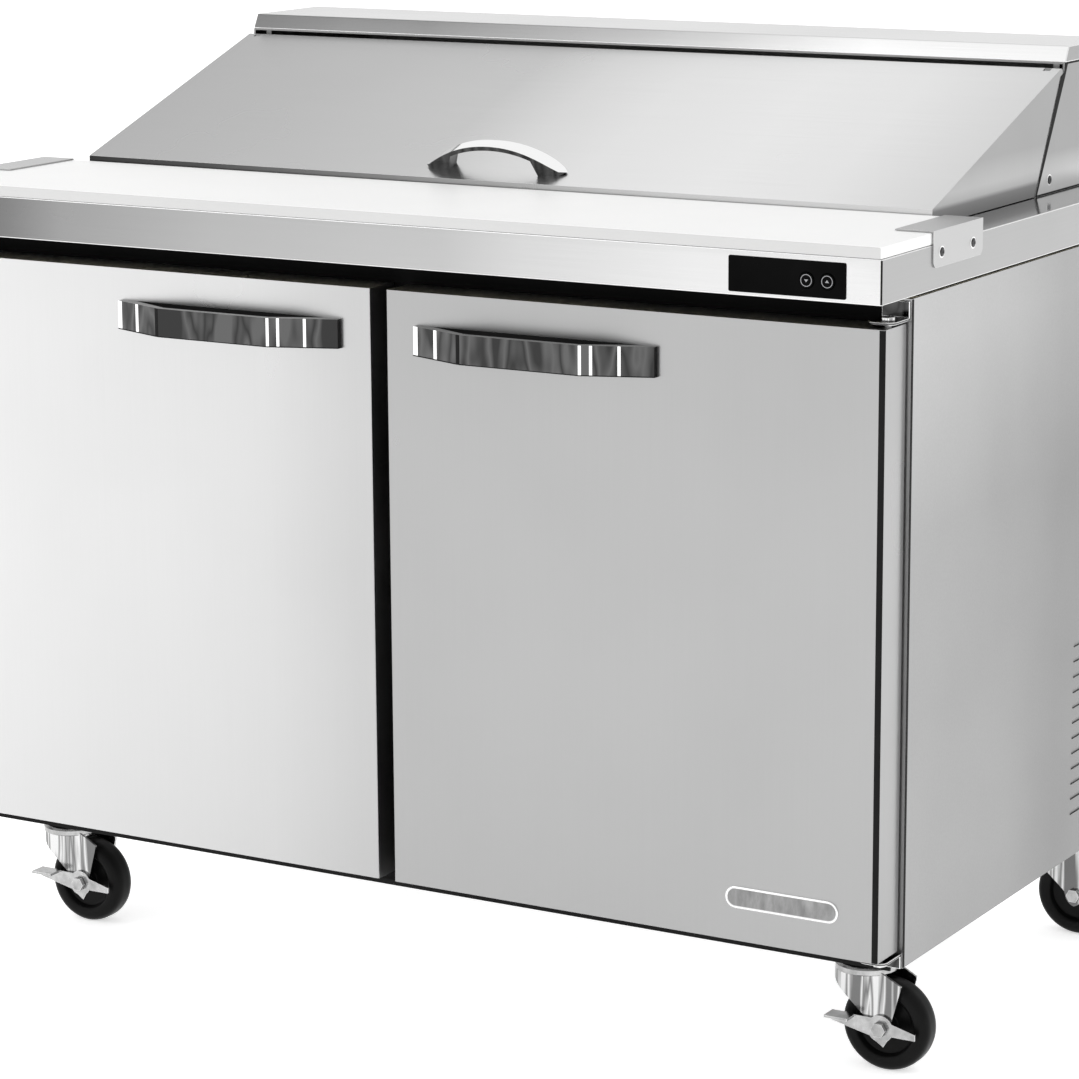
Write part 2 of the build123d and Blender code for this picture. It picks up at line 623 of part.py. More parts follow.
with BuildPart() as hinge_pins:
    for z0, z1, head in (
        (DOOR_TOP - PIN_IN, TOP_LEAF_Z + LEAF, TOP_LEAF_Z + LEAF),
        (BOTTOM_LEAF_Z, DOOR_BOTTOM + PIN_IN, BOTTOM_LEAF_Z - 4),
    ):
        with BuildSketch(Plane.XY.offset(z0)):
            with Locations((-HINGE_X, HINGE_Y), (HINGE_X, HINGE_Y)):
                Circle(HINGE_PIN_R)
        extrude(amount=z1 - z0)
        with BuildSketch(Plane.XY.offset(head)):
            with Locations((-HINGE_X, HINGE_Y), (HINGE_X, HINGE_Y)):
                RegularPolygon(7.5, 6)
        extrude(amount=4)
hinge_pins.part.label = "hinge_pins"
export_step(hinge_pins.part, "parts/hinge_pins.step")

# ---------------------------------------------------------------- temperature control
BUTTON_Z = TOP_Z - 25.8
BUTTONS = {"button_left": 527.3, "button_right": 550.5}
BUTTON_R = 8.0
BUTTON_GAP = 0.35
PLATE_T = 1.4

with BuildPart() as controller:
    with BuildSketch(front_plane(FASCIA_Y)):
        with Locations((CONTROL_X, CONTROL_Z)):
            RectangleRounded(CONTROL_W, CONTROL_H, 2)
    extrude(amount=PLATE_T)
    block(
        CONTROL_X - CONTROL_BODY_W / 2, CONTROL_X + CONTROL_BODY_W / 2, FASCIA_Y, FASCIA_Y + 40,
        CONTROL_Z - CONTROL_BODY_H / 2, CONTROL_Z + CONTROL_BODY_H / 2,
    )
    with BuildSketch(front_plane(FASCIA_Y - PLATE_T)):
        with Locations(*[(x, BUTTON_Z) for x in BUTTONS.values()]):
            Circle(BUTTON_R + BUTTON_GAP)
    extrude(amount=-6.4, mode=Mode.SUBTRACT)
controller.part.label = "controller"
export_step(controller.part, "parts/controller.step")

for button_name, button_x in BUTTONS.items():
    with BuildPart() as button:
        with BuildSketch(front_plane(FASCIA_Y + 3.4)):
            with Locations((button_x, BUTTON_Z)):
                Circle(BUTTON_R)
        extrude(amount=5.8)
        fillet(button.faces().sort_by(Axis.Y)[0].edges(), radius=0.6)
    button.part.label = button_name
    export_step(button.part, f"parts/{button_name}.step")

# ---------------------------------------------------------------- inside the storage space
SHELF_Z = 430.0
SHELF_WIRE_R = 3.0
SHELF_ROD_R = 2.0
SHELF_RODS = 20
SHELF_X0 = 15.0
SHELF_X1 = 545.0
SHELF_Y0 = -258.0
SHELF_Y1 = 92.0

with BuildPart() as wire_shelves:
    shelf_mid_y = (SHELF_Y0 + SHELF_Y1) / 2
    for side in (-1, 1):
        mid_x = side * (SHELF_X0 + SHELF_X1) / 2
        with BuildSketch(Plane.XY.offset(SHELF_Z - SHELF_WIRE_R)):
            with Locations((mid_x, shelf_mid_y)):
                Rectangle(SHELF_X1 - SHELF_X0, SHELF_Y1 - SHELF_Y0)
                Rectangle(SHELF_X1 - SHELF_X0 - 12, SHELF_Y1 - SHELF_Y0 - 12, mode=Mode.SUBTRACT)
        extrude(amount=2 * SHELF_WIRE_R)
        with BuildSketch(front_plane(SHELF_Y1 - 5)):
            with Locations((mid_x, SHELF_Z + 1.5)):
                with GridLocations((SHELF_X1 - SHELF_X0) / (SHELF_RODS + 1), 1, SHELF_RODS, 1):
                    Circle(SHELF_ROD_R)
        extrude(amount=SHELF_Y1 - SHELF_Y0 - 10)
wire_shelves.part.label = "wire_shelves"
export_step(wire_shelves.part, "parts/wire_shelves.step")

with BuildPart() as shelf_supports:
    shelf_under = SHELF_Z - SHELF_WIRE_R
    for y0, y1 in ((-256.0, -236.0), (70.0, 90.0)):
        for side in (-1, 1):
            wall = side * BAY_OUTER
            face = side * (BAY_OUTER - 4)
            tip = side * (SHELF_X1 - 16)
            block(min(wall, face), max(wall, face), y0, y1, 250.0, 700.0)
            block(min(wall, tip), max(wall, tip), y0 + 4, y1 - 4, shelf_under - 4, shelf_under)
    block(-12.0, 12.0, CASE_FRONT + 16, CASE_FRONT + 22, 250.0, 700.0)
    block(-30.0, 30.0, CASE_FRONT + 22, SHELF_Y0 + 14, shelf_under - 4, shelf_under)
    block(-12.0, 12.0, CASE_FRONT + 22, CASE_FRONT + 24, shelf_under - 14, shelf_under)
    block(-12.0, 12.0, LINER_STEP_Y - 8, LINER_STEP_Y - SHEET, 250.0, 466.0)
    block(-30.0, 30.0, SHELF_Y1 - 14, LINER_STEP_Y - 8, shelf_under - 4, shelf_under)
shelf_supports.part.label = "shelf_supports"
export_step(shelf_supports.part, "parts/shelf_supports.step")

EVAP_FAN_Z = 726.0
EVAP_FRONT = 238.0
EVAP_HALF = 300.0

with BuildPart() as evaporator_housing:
    block(-EVAP_HALF, EVAP_HALF, EVAP_FRONT, LINER_BACK - SHEET, 652.0, 806.0)
    block(-EVAP_HALF + 2, EVAP_HALF - 2, EVAP_FRONT + 2, LINER_BACK, 654.0, 804.0, Mode.SUBTRACT)
    with BuildSketch(front_plane(EVAP_FRONT + 5)):
        with Locations((0, EVAP_FAN_Z)):
            Circle(60)
    extrude(amount=10, mode=Mode.SUBTRACT)
    block(-220.0, -70.0, 250.0, 318.0, 640.0, 660.0, Mode.SUBTRACT)
    block(70.0, 220.0, 250.0, 318.0, 640.0, 660.0, Mode.SUBTRACT)
evaporator_housing.part.label = "evaporator_housing"
export_step(evaporator_housing.part, "parts/evaporator_housing.step")

with BuildPart() as evaporator_coil:
    block(-260.0, 260.0, 292.0, 326.0, 674.0, 790.0)
    with BuildSketch(side_plane(-276)):
        with Locations((309, 732)):
            with GridLocations(17, 26, 2, 4):
                Circle(4)
    extrude(amount=552)
evaporator_coil.part.label = "evaporator_coil"
export_step(evaporator_coil.part, "parts/evaporator_coil.step")


def fan_blades(name, plane, radius, depth):
    """A fan: hub with a blind motor bore and five pitched blades, centred on the plane."""
    with BuildPart() as fan:
        with BuildSketch(plane):
            Circle(radius * 0.28)
        extrude(amount=depth / 2, both=True)
        for turn in range(5):
            swing = math.radians(72 * turn)
            radial = plane.x_dir * math.cos(swing) + plane.y_dir * math.sin(swing)
            across = plane.y_dir * math.cos(swing) - plane.x_dir * math.sin(swing)
            tilted = Plane(
                origin=plane.origin + radial * (radius * 0.6),
                x_dir=radial,
                z_dir=plane.z_dir + across * 0.3,
            )
            with BuildSketch(tilted):
                RectangleRounded(radius * 0.78, radius * 0.5, radius * 0.1)
            extrude(amount=0.8, both=True)
        with BuildSketch(plane.offset(-depth)):
            Circle(3 + RUNNING)
        extrude(amount=depth * 1.2, mode=Mode.SUBTRACT)
    fan.part.label = name
    export_step(fan.part, f"parts/{name}.step")


EVAP_FAN_Y = 254.0
COND_FAN_X = 214.0
COND_Y = 262.0
COND_Z = 256.0
evaporator_plane = Plane(origin=(0, EVAP_FAN_Y, EVAP_FAN_Z), x_dir=(1, 0, 0), z_dir=(0, -1, 0))
condenser_plane = Plane(origin=(COND_FAN_X, COND_Y, COND_Z), x_dir=(0, 1, 0), z_dir=(1, 0, 0))
fan_blades("evaporator_fan", evaporator_plane, 52, 14)
fan_blades("condenser_fan", condenser_plane, 76, 20)

with BuildPart() as fan_motors:
    with BuildSketch(front_plane(290.0)):
        with Locations((0, EVAP_FAN_Z)):
            Circle(21)
    extrude(amount=26)
    with BuildSketch(front_plane(264.0)):
        with Locations((0, EVAP_FAN_Z)):
            Circle(3)
    extrude(amount=10)
    block(-70.0, 70.0, 286.0, 290.0, EVAP_FAN_Z - 6, EVAP_FAN_Z + 6)
    with BuildSketch(side_plane(170.0)):
        with Locations((COND_Y, COND_Z)):
            Circle(24)
    extrude(amount=30)
    with BuildSketch(side_plane(200.0)):
        with Locations((COND_Y, COND_Z)):
            Circle(3)
    extrude(amount=18)
    block(178.0, 182.0, COND_Y - 6, COND_Y + 6, CASE_BOTTOM + SHEET, COND_Z)
fan_motors.part.label = "fan_motors"
export_step(fan_motors.part, "parts/fan_motors.step")

# ---------------------------------------------------------------- machine compartment
with BuildPart() as compressor:
    with BuildSketch(Plane.XY.offset(158.0)):
        with Locations((-300, COND_Y)):
            Circle(74)
    extrude(amount=178)
    fillet(compressor.faces().sort_by(Axis.Z)[-1].edges(), radius=42)
    block(-386.0, -214.0, COND_Y - 60, COND_Y + 60, 154.0, 160.0)
    with BuildSketch(Plane.XY.offset(CASE_BOTTOM + SHEET)):
        with Locations((-300, COND_Y)):
            with GridLocations(150, 96, 2, 2):
                Circle(9)
    extrude(amount=12)
    block(-236.0, -206.0, COND_Y - 22, COND_Y + 22, 210.0, 270.0)
compressor.part.label = "compressor"
export_step(compressor.part, "parts/compressor.step")

with BuildPart() as condenser_coil:
    block(250.0, 294.0, 170.0, 352.0, CASE_BOTTOM + SHEET, 356.0)
    block(230.0, 250.0, 170.0, 352.0, CASE_BOTTOM + SHEET, 356.0)
    with BuildSketch(side_plane(228.0)):
        with Locations((COND_Y, COND_Z)):
            Circle(82)
    extrude(amount=22, mode=Mode.SUBTRACT)
    with BuildSketch(front_plane(362.0)):
        with Locations((272, 250)):
            with GridLocations(22, 26, 2, 7):
                Circle(4)
    extrude(amount=202)
condenser_coil.part.label = "condenser_coil"
export_step(condenser_coil.part, "parts/condenser_coil.step")

with BuildPart() as refrigerant_lines:
    with BuildLine():
        discharge = FilletPolyline(
            (-206, COND_Y, 236), (-150, COND_Y, 236), (-150, 190, 236),
            (-150, 190, 390), (272, 190, 390), (272, 190, 356), radius=20,
        )
    with BuildSketch(Plane(origin=discharge @ 0, z_dir=discharge % 0)):
        Circle(4)
    sweep(path=discharge)
    with BuildLine():
        suction = FilletPolyline(
            (-300, COND_Y, 336), (-300, COND_Y, 380), (-60, COND_Y, 380),
            (-60, COND_Y, MACHINE_TOP), radius=20,
        )
    with BuildSketch(Plane(origin=suction @ 0, z_dir=suction % 0)):
        Circle(5)
    sweep(path=suction)
    with BuildSketch(side_plane(20.0)):
        with Locations((190, 390)):
            Circle(13)
    extrude(amount=110)
refrigerant_lines.part.label = "refrigerant_lines"
export_step(refrigerant_lines.part, "parts/refrigerant_lines.step")

with BuildPart() as rear_grille:
    block(-604.0, 604.0, CASE_BACK - SHEET, CASE_BACK, CASE_BOTTOM + SHEET, MACHINE_TOP)
    with BuildSketch(front_plane(CASE_BACK + 1)):
        with Locations((0, 290)):
            with GridLocations(150, 18, 7, 11):
                SlotOverall(130, 7)
        with Locations((-540, 190)):
            Circle(10)
    extrude(amount=4, mode=Mode.SUBTRACT)
rear_grille.part.label = "rear_grille"
export_step(rear_grille.part, "parts/rear_grille.step")

with BuildPart() as power_inlet:
    with BuildSketch(front_plane(CASE_BACK + 3.4)):
        with Locations((-540, 190)):
            Circle(14)
            Circle(5.5, mode=Mode.SUBTRACT)
    extrude(amount=3.4)
    with BuildSketch(front_plane(CASE_BACK)):
        with Locations((-540, 190)):
            Circle(10)
            Circle(5.5, mode=Mode.SUBTRACT)
    extrude(amount=14)
    with BuildSketch(front_plane(CASE_BACK - SHEET)):
        with Locations((-540, 190)):
            RegularPolygon(15, 6)
            Circle(5.5, mode=Mode.SUBTRACT)
    extrude(amount=6)
power_inlet.part.label = "power_inlet"
export_step(power_inlet.part, "parts/power_inlet.step")

# ---------------------------------------------------------------- casters
PLATE_T_CASTER = 3.0
RACE_Z = 129.5
KINGPIN_R = 6.0
CROWN_TOP = 128.6
CROWN_BOTTOM = 119.0
LEG_IN = 18.6
LEG_OUT = 21.6
BRAKE_FRONT = 25.6
BEND = 14.0                      # centre of the fork's bent front, ahead of the kingpin
REACH = 50.0                     # tip of the fork's legs, behind the kingpin

with BuildPart() as caster_plates:
    with BuildSketch(Plane.XY.offset(CASE_BOTTOM - PLATE_T_CASTER)):
        with Locations(*CASTER_POINTS):
            RectangleRounded(98, 84, 8)
            with GridLocations(CASTER_BOLT_X, CASTER_BOLT_Y, 2, 2):
                Circle(CASTER_BOLT_R, mode=Mode.SUBTRACT)
    extrude(amount=PLATE_T_CASTER)
    with BuildSketch(Plane.XY.offset(RACE_Z)):
        with Locations(*CASTER_POINTS):
            Circle(30)
    extrude(amount=CASE_BOTTOM - PLATE_T_CASTER - RACE_Z)
    with BuildSketch(Plane.XY.offset(CROWN_BOTTOM - 0.6)):
        with Locations(*CASTER_POINTS):
            Circle(KINGPIN_R)
    extrude(amount=RACE_Z - CROWN_BOTTOM + 0.6)
    with BuildSketch(Plane.XY.offset(CROWN_BOTTOM - 6.6)):
        with Locations(*CASTER_POINTS):
            RegularPolygon(10.5, 6)
    extrude(amount=6)
caster_plates.part.label = "caster_plates"
export_step(caster_plates.part, "parts/caster_plates.step")

with BuildPart() as caster_bolts:
    with BuildSketch(Plane.XY.offset(CASE_BOTTOM - PLATE_T_CASTER)):
        with Locations(*CASTER_POINTS):
            with GridLocations(CASTER_BOLT_X, CASTER_BOLT_Y, 2, 2):
                Circle(CASTER_BOLT_R)
    extrude(amount=PLATE_T_CASTER + SHEET + 6)
    with BuildSketch(Plane.XY.offset(CASE_BOTTOM - PLATE_T_CASTER - 5)):
        with Locations(*CASTER_POINTS):
            with GridLocations(CASTER_BOLT_X, CASTER_BOLT_Y, 2, 2):
                RegularPolygon(7, 6)
    extrude(amount=5)
caster_bolts.part.label = "caster_bolts"
export_step(caster_bolts.part, "parts/caster_bolts.step")


def caster_parts(name, x, y, braked):
    """The moving pieces of one caster: fork, axle, wheel and, at the front, a brake pedal."""
    axle_x = x + TRAIL
    with BuildPart() as fork:
        bend_x = x - BEND
        tip_x = x + REACH
        lead_x = bend_x - LEG_OUT
        with BuildSketch():
            with BuildLine():
                Polyline((tip_x, y - LEG_IN), (tip_x, y - LEG_OUT), (bend_x, y - LEG_OUT))
                ThreePointArc((bend_x, y - LEG_OUT), (lead_x, y), (bend_x, y + LEG_OUT))
                Polyline(
                    (bend_x, y + LEG_OUT), (tip_x, y + LEG_OUT), (tip_x, y + LEG_IN), (bend_x, y + LEG_IN),
                )
                ThreePointArc((bend_x, y + LEG_IN), (bend_x - LEG_IN, y), (bend_x, y - LEG_IN))
                Line((bend_x, y - LEG_IN), (tip_x, y - LEG_IN))
            make_face()
        extrude(amount=CROWN_TOP)
        with BuildSketch(front_plane(y + 30)):
            with BuildLine():
                Polyline(
                    (lead_x - 1, WHEEL_R + 50), (lead_x - 1, CROWN_TOP), (x + 16, CROWN_TOP),
                    (tip_x, CROWN_TOP - 24), (tip_x, WHEEL_R + 52), (axle_x + 11, WHEEL_R + 6),
                )
                ThreePointArc(
                    (axle_x + 11, WHEEL_R + 6), (axle_x, WHEEL_R - 14), (axle_x - 13, WHEEL_R + 4),
                )
                Line((axle_x - 13, WHEEL_R + 4), (lead_x - 1, WHEEL_R + 50))
            make_face()
        extrude(amount=60, mode=Mode.INTERSECT)
        with BuildSketch(Plane.XY.offset(CROWN_BOTTOM)):
            with Locations((x, y)):
                Circle(34)
        extrude(amount=CROWN_TOP - CROWN_BOTTOM)
        with BuildSketch(Plane.XY.offset(CROWN_BOTTOM - 1)):
            with Locations((x, y)):
                Circle(KINGPIN_R + RUNNING)
        extrude(amount=12, mode=Mode.SUBTRACT)
        with BuildSketch(front_plane(y + 40)):
            with Locations((axle_x, WHEEL_R)):
                Circle(AXLE_R)
        extrude(amount=80, mode=Mode.SUBTRACT)
    fork.part.label = f"{name}_fork"
    export_step(fork.part, f"parts/{name}_fork.step")

    with BuildPart() as axle:
        with BuildSketch(front_plane(y + LEG_OUT)):
            with Locations((axle_x, WHEEL_R)):
                Circle(AXLE_R)
        extrude(amount=LEG_OUT + BRAKE_FRONT + 0.4 if braked else 2 * LEG_OUT)
        with BuildSketch(front_plane(y + LEG_OUT + 5)):
            with Locations((axle_x, WHEEL_R)):
                RegularPolygon(8.5, 6)
        extrude(amount=5)
        nut_y = BRAKE_FRONT + 0.4 if braked else LEG_OUT
        with BuildSketch(front_plane(y - nut_y)):
            with Locations((axle_x, WHEEL_R)):
                RegularPolygon(8.5, 6)
        extrude(amount=5.5)
    axle.part.label = f"{name}_axle"
    export_step(axle.part, f"parts/{name}_axle.step")

    half = WHEEL_WIDTH / 2
    with BuildPart() as wheel:
        with BuildSketch(Plane(origin=(axle_x, y, WHEEL_R), x_dir=(0, 1, 0), z_dir=(1, 0, 0))):
            with BuildLine():
                Line((-18.2, AXLE_R + RUNNING), (-18.2, 12))
                Polyline((-18.2, 12), (-8, 15), (-8, 32), (-half, 36), (-half, 42))
                ThreePointArc((-half, 42), (-half + 3.2, 48), (-half + 9, WHEEL_R))
                Line((-half + 9, WHEEL_R), (half - 9, WHEEL_R))
                ThreePointArc((half - 9, WHEEL_R), (half - 3.2, 48), (half, 42))
                Polyline((half, 42), (half, 36), (8, 32), (8, 15), (18.2, 12))
                Line((18.2, 12), (18.2, AXLE_R + RUNNING))
                Line((18.2, AXLE_R + RUNNING), (-18.2, AXLE_R + RUNNING))
            make_face()
        revolve(axis=Axis((axle_x, y, WHEEL_R), (0, 1, 0)))
    wheel.part.label = f"{name}_wheel"
    export_step(wheel.part, f"parts/{name}_wheel.step")

    if not braked:
        return
    with BuildPart() as brake:
        with BuildSketch(front_plane(y - LEG_OUT - 0.6)):
            with Locations((axle_x, WHEEL_R)):
                Circle(15)
            with BuildLine():
                Polyline(
                    (axle_x - 58, WHEEL_R + 12), (axle_x - 58, WHEEL_R + 1), (axle_x - 12, WHEEL_R - 9),
                    (axle_x + 4, WHEEL_R - 20), (axle_x + 12, WHEEL_R - 7), (axle_x + 41, WHEEL_R - 7),
                    (axle_x + 41, WHEEL_R), (axle_x + 14, WHEEL_R + 7), (axle_x - 10, WHEEL_R + 11),
                    (axle_x - 58, WHEEL_R + 12),
                )
            make_face()
        extrude(amount=BRAKE_FRONT - LEG_OUT - 1.0)
        block(axle_x - 58, axle_x - 30, y - 44, y - LEG_OUT - 0.6, WHEEL_R + 9, WHEEL_R + 12)
        with BuildSketch(front_plane(y)):
            with Locations((axle_x, WHEEL_R)):
                Circle(AXLE_R + RUNNING)
        extrude(amount=60, mode=Mode.SUBTRACT)
    brake.part.label = f"{name}_brake"
    export_step(brake.part, f"parts/{name}_brake.step")


caster_parts("caster_front_left", -CASTER_X, CASTER_FRONT_Y, True)
caster_parts("caster_front_right", CASTER_X, CASTER_FRONT_Y, True)
caster_parts("caster_rear_left", -CASTER_X, CASTER_REAR_Y, False)
caster_parts("caster_rear_right", CASTER_X, CASTER_REAR_Y, False)
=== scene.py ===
import json
import math

import bmesh
import bpy
from mathutils import Matrix, Vector


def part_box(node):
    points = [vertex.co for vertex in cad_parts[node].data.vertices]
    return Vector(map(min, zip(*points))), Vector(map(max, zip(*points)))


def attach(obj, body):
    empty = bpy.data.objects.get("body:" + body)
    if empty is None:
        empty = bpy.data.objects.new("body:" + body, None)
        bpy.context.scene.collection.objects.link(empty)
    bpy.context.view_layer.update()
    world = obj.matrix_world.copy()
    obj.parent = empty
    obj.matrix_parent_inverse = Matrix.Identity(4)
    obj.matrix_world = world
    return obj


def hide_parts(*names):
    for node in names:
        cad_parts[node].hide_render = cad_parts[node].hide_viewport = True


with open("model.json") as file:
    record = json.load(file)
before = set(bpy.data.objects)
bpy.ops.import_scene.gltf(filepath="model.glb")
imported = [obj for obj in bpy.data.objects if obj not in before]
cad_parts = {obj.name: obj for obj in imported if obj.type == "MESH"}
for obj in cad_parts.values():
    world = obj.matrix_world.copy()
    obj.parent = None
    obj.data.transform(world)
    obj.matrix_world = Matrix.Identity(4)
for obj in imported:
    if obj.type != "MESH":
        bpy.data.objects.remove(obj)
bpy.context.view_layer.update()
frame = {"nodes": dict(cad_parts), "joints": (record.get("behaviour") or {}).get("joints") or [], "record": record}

nodes = frame["nodes"]
bodies = frame["record"]["behaviour"]["bodies"]
body_of = {node: body for body, members in bodies.items() for node in members}
joint_at = {j["name"]: Vector(j["pos_m"]) for j in frame["joints"] if "pos_m" in j}
MM = 0.001


# ---------------------------------------------------------------- material nodes
def new_material(name):
    """An empty node material; returns it with its node tree and its Principled shader."""
    material = bpy.data.materials.new(name)
    material.use_nodes = True
    return material, material.node_tree, material.node_tree.nodes["Principled BSDF"]


def noise(tree, stretch, scale=1.0, detail=4.0, rough=0.55):
    """The factor of a noise texture in object coordinates, stretched along each axis."""
    coords = tree.nodes.new("ShaderNodeTexCoord")
    mapping = tree.nodes.new("ShaderNodeMapping")
    mapping.inputs["Scale"].default_value = stretch
    texture = tree.nodes.new("ShaderNodeTexNoise")
    texture.inputs["Scale"].default_value = scale
    texture.inputs["Detail"].default_value = detail
    texture.inputs["Roughness"].default_value = rough
    tree.links.new(coords.outputs["Object"], mapping.inputs["Vector"])
    tree.links.new(mapping.outputs["Vector"], texture.inputs["Vector"])
    return texture.outputs["Fac"]


def along_axis(tree, axis, start, end):
    """Distance along one object axis, as 0 at the start and 1 at the end."""
    coords = tree.nodes.new("ShaderNodeTexCoord")
    parts = tree.nodes.new("ShaderNodeSeparateXYZ")
    tree.links.new(coords.outputs["Object"], parts.inputs["Vector"])
    return remap(tree, parts.outputs[axis], start, end, 0.0, 1.0)


def remap(tree, value, low, high, to_low, to_high):
    """Stretches a value from one range to another."""
    node = tree.nodes.new("ShaderNodeMapRange")
    node.inputs["From Min"].default_value = low
    node.inputs["From Max"].default_value = high
    node.inputs["To Min"].default_value = to_low
    node.inputs["To Max"].default_value = to_high
    tree.links.new(value, node.inputs["Value"])
    return node.outputs["Result"]


def ramp(tree, value, stops):
    """A colour ramp; each stop is (position, tone) or (position, (r, g, b))."""
    node = tree.nodes.new("ShaderNodeValToRGB")
    elements = node.color_ramp.elements
    while len(elements) < len(stops):
        elements.new(0.5)
    for element, (position, tone) in zip(elements, stops):
        colour = (tone, tone, tone) if isinstance(tone, float) else tone
        element.position = position
        element.color = (*colour, 1)
    tree.links.new(value, node.inputs["Fac"])
    return node.outputs["Color"]


def times(tree, first, second):
    """One colour multiplied by another."""
    node = tree.nodes.new("ShaderNodeMix")
    node.data_type = "RGBA"
    node.blend_type = "MULTIPLY"
    node.inputs["Factor"].default_value = 1.0
    tree.links.new(first, node.inputs["A"])
    tree.links.new(second, node.inputs["B"])
    return node.outputs["Result"]


def bump(tree, shader, height, strength, distance=0.0002):
    """Presses a fine relief into a shader's normal."""
    node = tree.nodes.new("ShaderNodeBump")
    node.inputs["Strength"].default_value = strength
    node.inputs["Distance"].default_value = distance
    tree.links.new(height, node.inputs["Height"])
    tree.links.new(node.outputs["Normal"], shader.inputs["Normal"])


# Grain direction of brushed or rolled surfaces, as noise scale along each axis.
GRAIN_X = (5, 600, 600)
GRAIN_Y = (600, 5, 600)
GRAIN_Z = (600, 600, 5)
SPECKLE = (420, 420, 420)


def steel(name, fades, rough, grain, vary=0.03, strength=0.10):
    """Satin or polished steel whose tone fades along axes; the panels use the fades to paint reflections and shade
    into their colour; fades are (axis, start, end, stops).
    """
    material, tree, shader = new_material(name)
    shader.inputs["Metallic"].default_value = 1.0
    streaks = noise(tree, grain, 1.0, 5.0, 0.6)
    clouds = noise(tree, (1, 1, 1), 4.0, 3.0)
    colour = ramp(tree, streaks, [(0.3, 1.0 - vary), (0.7, 1.0)])
    for axis, start, end, stops in fades:
        fade = ramp(tree, along_axis(tree, axis, start, end), stops)
        colour = times(tree, colour, fade)
    tree.links.new(colour, shader.inputs["Base Color"])
    tree.links.new(remap(tree, clouds, 0.3, 0.7, rough * 0.88, rough * 1.12), shader.inputs["Roughness"])
    bump(tree, shader, streaks, strength)
    return material


def even(tone):
    """A fade with the same tone all over."""
    return [("X", -1.0, 1.0, [(0.0, tone), (1.0, tone)])]


def plastic(name, tone, spread, rough, grain_scale=900.0, strength=0.08, coat=0.0, shine=0.5):
    """Moulded plastic, rubber or paint: an even fine grain and slight clouds of colour."""
    material, tree, shader = new_material(name)
    grain = noise(tree, (1, 1, 1), grain_scale, 3.0)
    clouds = noise(tree, (1, 1, 1), 12.0, 3.0)
    low = tuple(max(c - spread, 0.0) for c in tone)
    high = tuple(c + spread for c in tone)
    tree.links.new(ramp(tree, clouds, [(0.3, low), (0.7, high)]), shader.inputs["Base Color"])
    tree.links.new(remap(tree, grain, 0.3, 0.7, rough * 0.85, rough * 1.15), shader.inputs["Roughness"])
    shader.inputs["Coat Weight"].default_value = coat
    shader.inputs["Specular IOR Level"].default_value = shine
    bump(tree, shader, grain, strength, 0.0003)
    return material


def reflection_streaked(name, dark, light, rough, stretch, strength=0.05):
    """Bright plating with painted reflections: hard dark and light streaks painted into its colour."""
    material, tree, shader = new_material(name)
    shader.inputs["Metallic"].default_value = 1.0
    streaks = noise(tree, stretch, 1.0, 2.0, 0.4)
    fine = noise(tree, SPECKLE, 1.0, 3.0)
    stops = [(0.40, dark), (0.47, light), (0.53, dark), (0.60, light)]
    tree.links.new(ramp(tree, streaks, stops), shader.inputs["Base Color"])
    tree.links.new(remap(tree, fine, 0.3, 0.7, rough * 0.8, rough * 1.2), shader.inputs["Roughness"])
    bump(tree, shader, streaks, strength)
    return material


# Painted light: the soft reflections of the surroundings and the shade along each panel, painted into its tone as
# (axis, start, end, (place, tone) stops).
FASCIA_PAINTED_LIGHT = [("X", -0.61, 0.61, [
    (0.0, 0.10), (0.06, 0.12), (0.11, 0.18), (0.17, 0.27), (0.26, 0.316), (0.34, 0.357),
    (0.5, 0.40), (0.58, 0.415), (0.66, 0.50), (0.75, 0.556), (0.83, 0.607), (1.0, 0.643),
])]
LID_PAINTED_LIGHT = [("X", -0.55, 0.55, [
    (0.0, 0.43), (0.23, 0.50), (0.41, 0.56), (0.5, 0.69),
    (0.6, 0.78), (0.75, 0.83), (0.87, 0.80), (1.0, 0.68),
])]
LID_LIP_PAINTED_LIGHT = [("X", -0.55, 0.55, [
    (0.0, 0.05), (0.15, 0.09), (0.38, 0.24), (0.5, 0.40), (0.7, 0.60), (1.0, 0.70),
])]
LID_END_PAINTED_LIGHT = [("Z", 0.90, 1.04, [
    (0.0, 0.13), (0.09, 0.17), (0.125, 0.38), (0.2, 0.40), (0.4, 0.29), (1.0, 0.29),
])]
HOOD_PAINTED_LIGHT = [("Z", 0.90, 1.04, [(0.0, 0.44), (0.15, 0.43), (0.32, 0.275), (1.0, 0.26)])]
CAP_PAINTED_LIGHT = [("X", -0.55, 0.55, [
    (0.0, 0.15), (0.23, 0.19), (0.41, 0.33), (0.5, 0.415),
    (0.6, 0.55), (0.7, 0.72), (0.78, 0.88), (1.0, 0.90),
])]
LEFT_DOOR_PAINTED_LIGHT = [
    ("X", -0.6, 0.0, [(0.0, 0.60), (0.25, 0.575), (0.5, 0.553), (0.75, 0.52), (0.95, 0.45), (1.0, 0.45)]),
    ("Z", 0.15, 0.83, [(0.0, 0.96), (0.5, 1.0), (1.0, 1.04)]),
]
SIDE_PAINTED_LIGHT = [
    ("Y", -0.29, 0.37, [(0.0, 0.50), (0.2, 0.465), (0.41, 0.43), (0.6, 0.355), (1.0, 0.35)]),
    ("Z", 0.14, 0.85, [(0.0, 0.70), (0.16, 0.68), (0.37, 0.64), (0.65, 0.64), (0.93, 0.87), (1.0, 0.87)]),
]
COPPER = [("X", -1.0, 1.0, [(0.0, (0.80, 0.42, 0.27)), (1.0, (0.84, 0.47, 0.31))])]
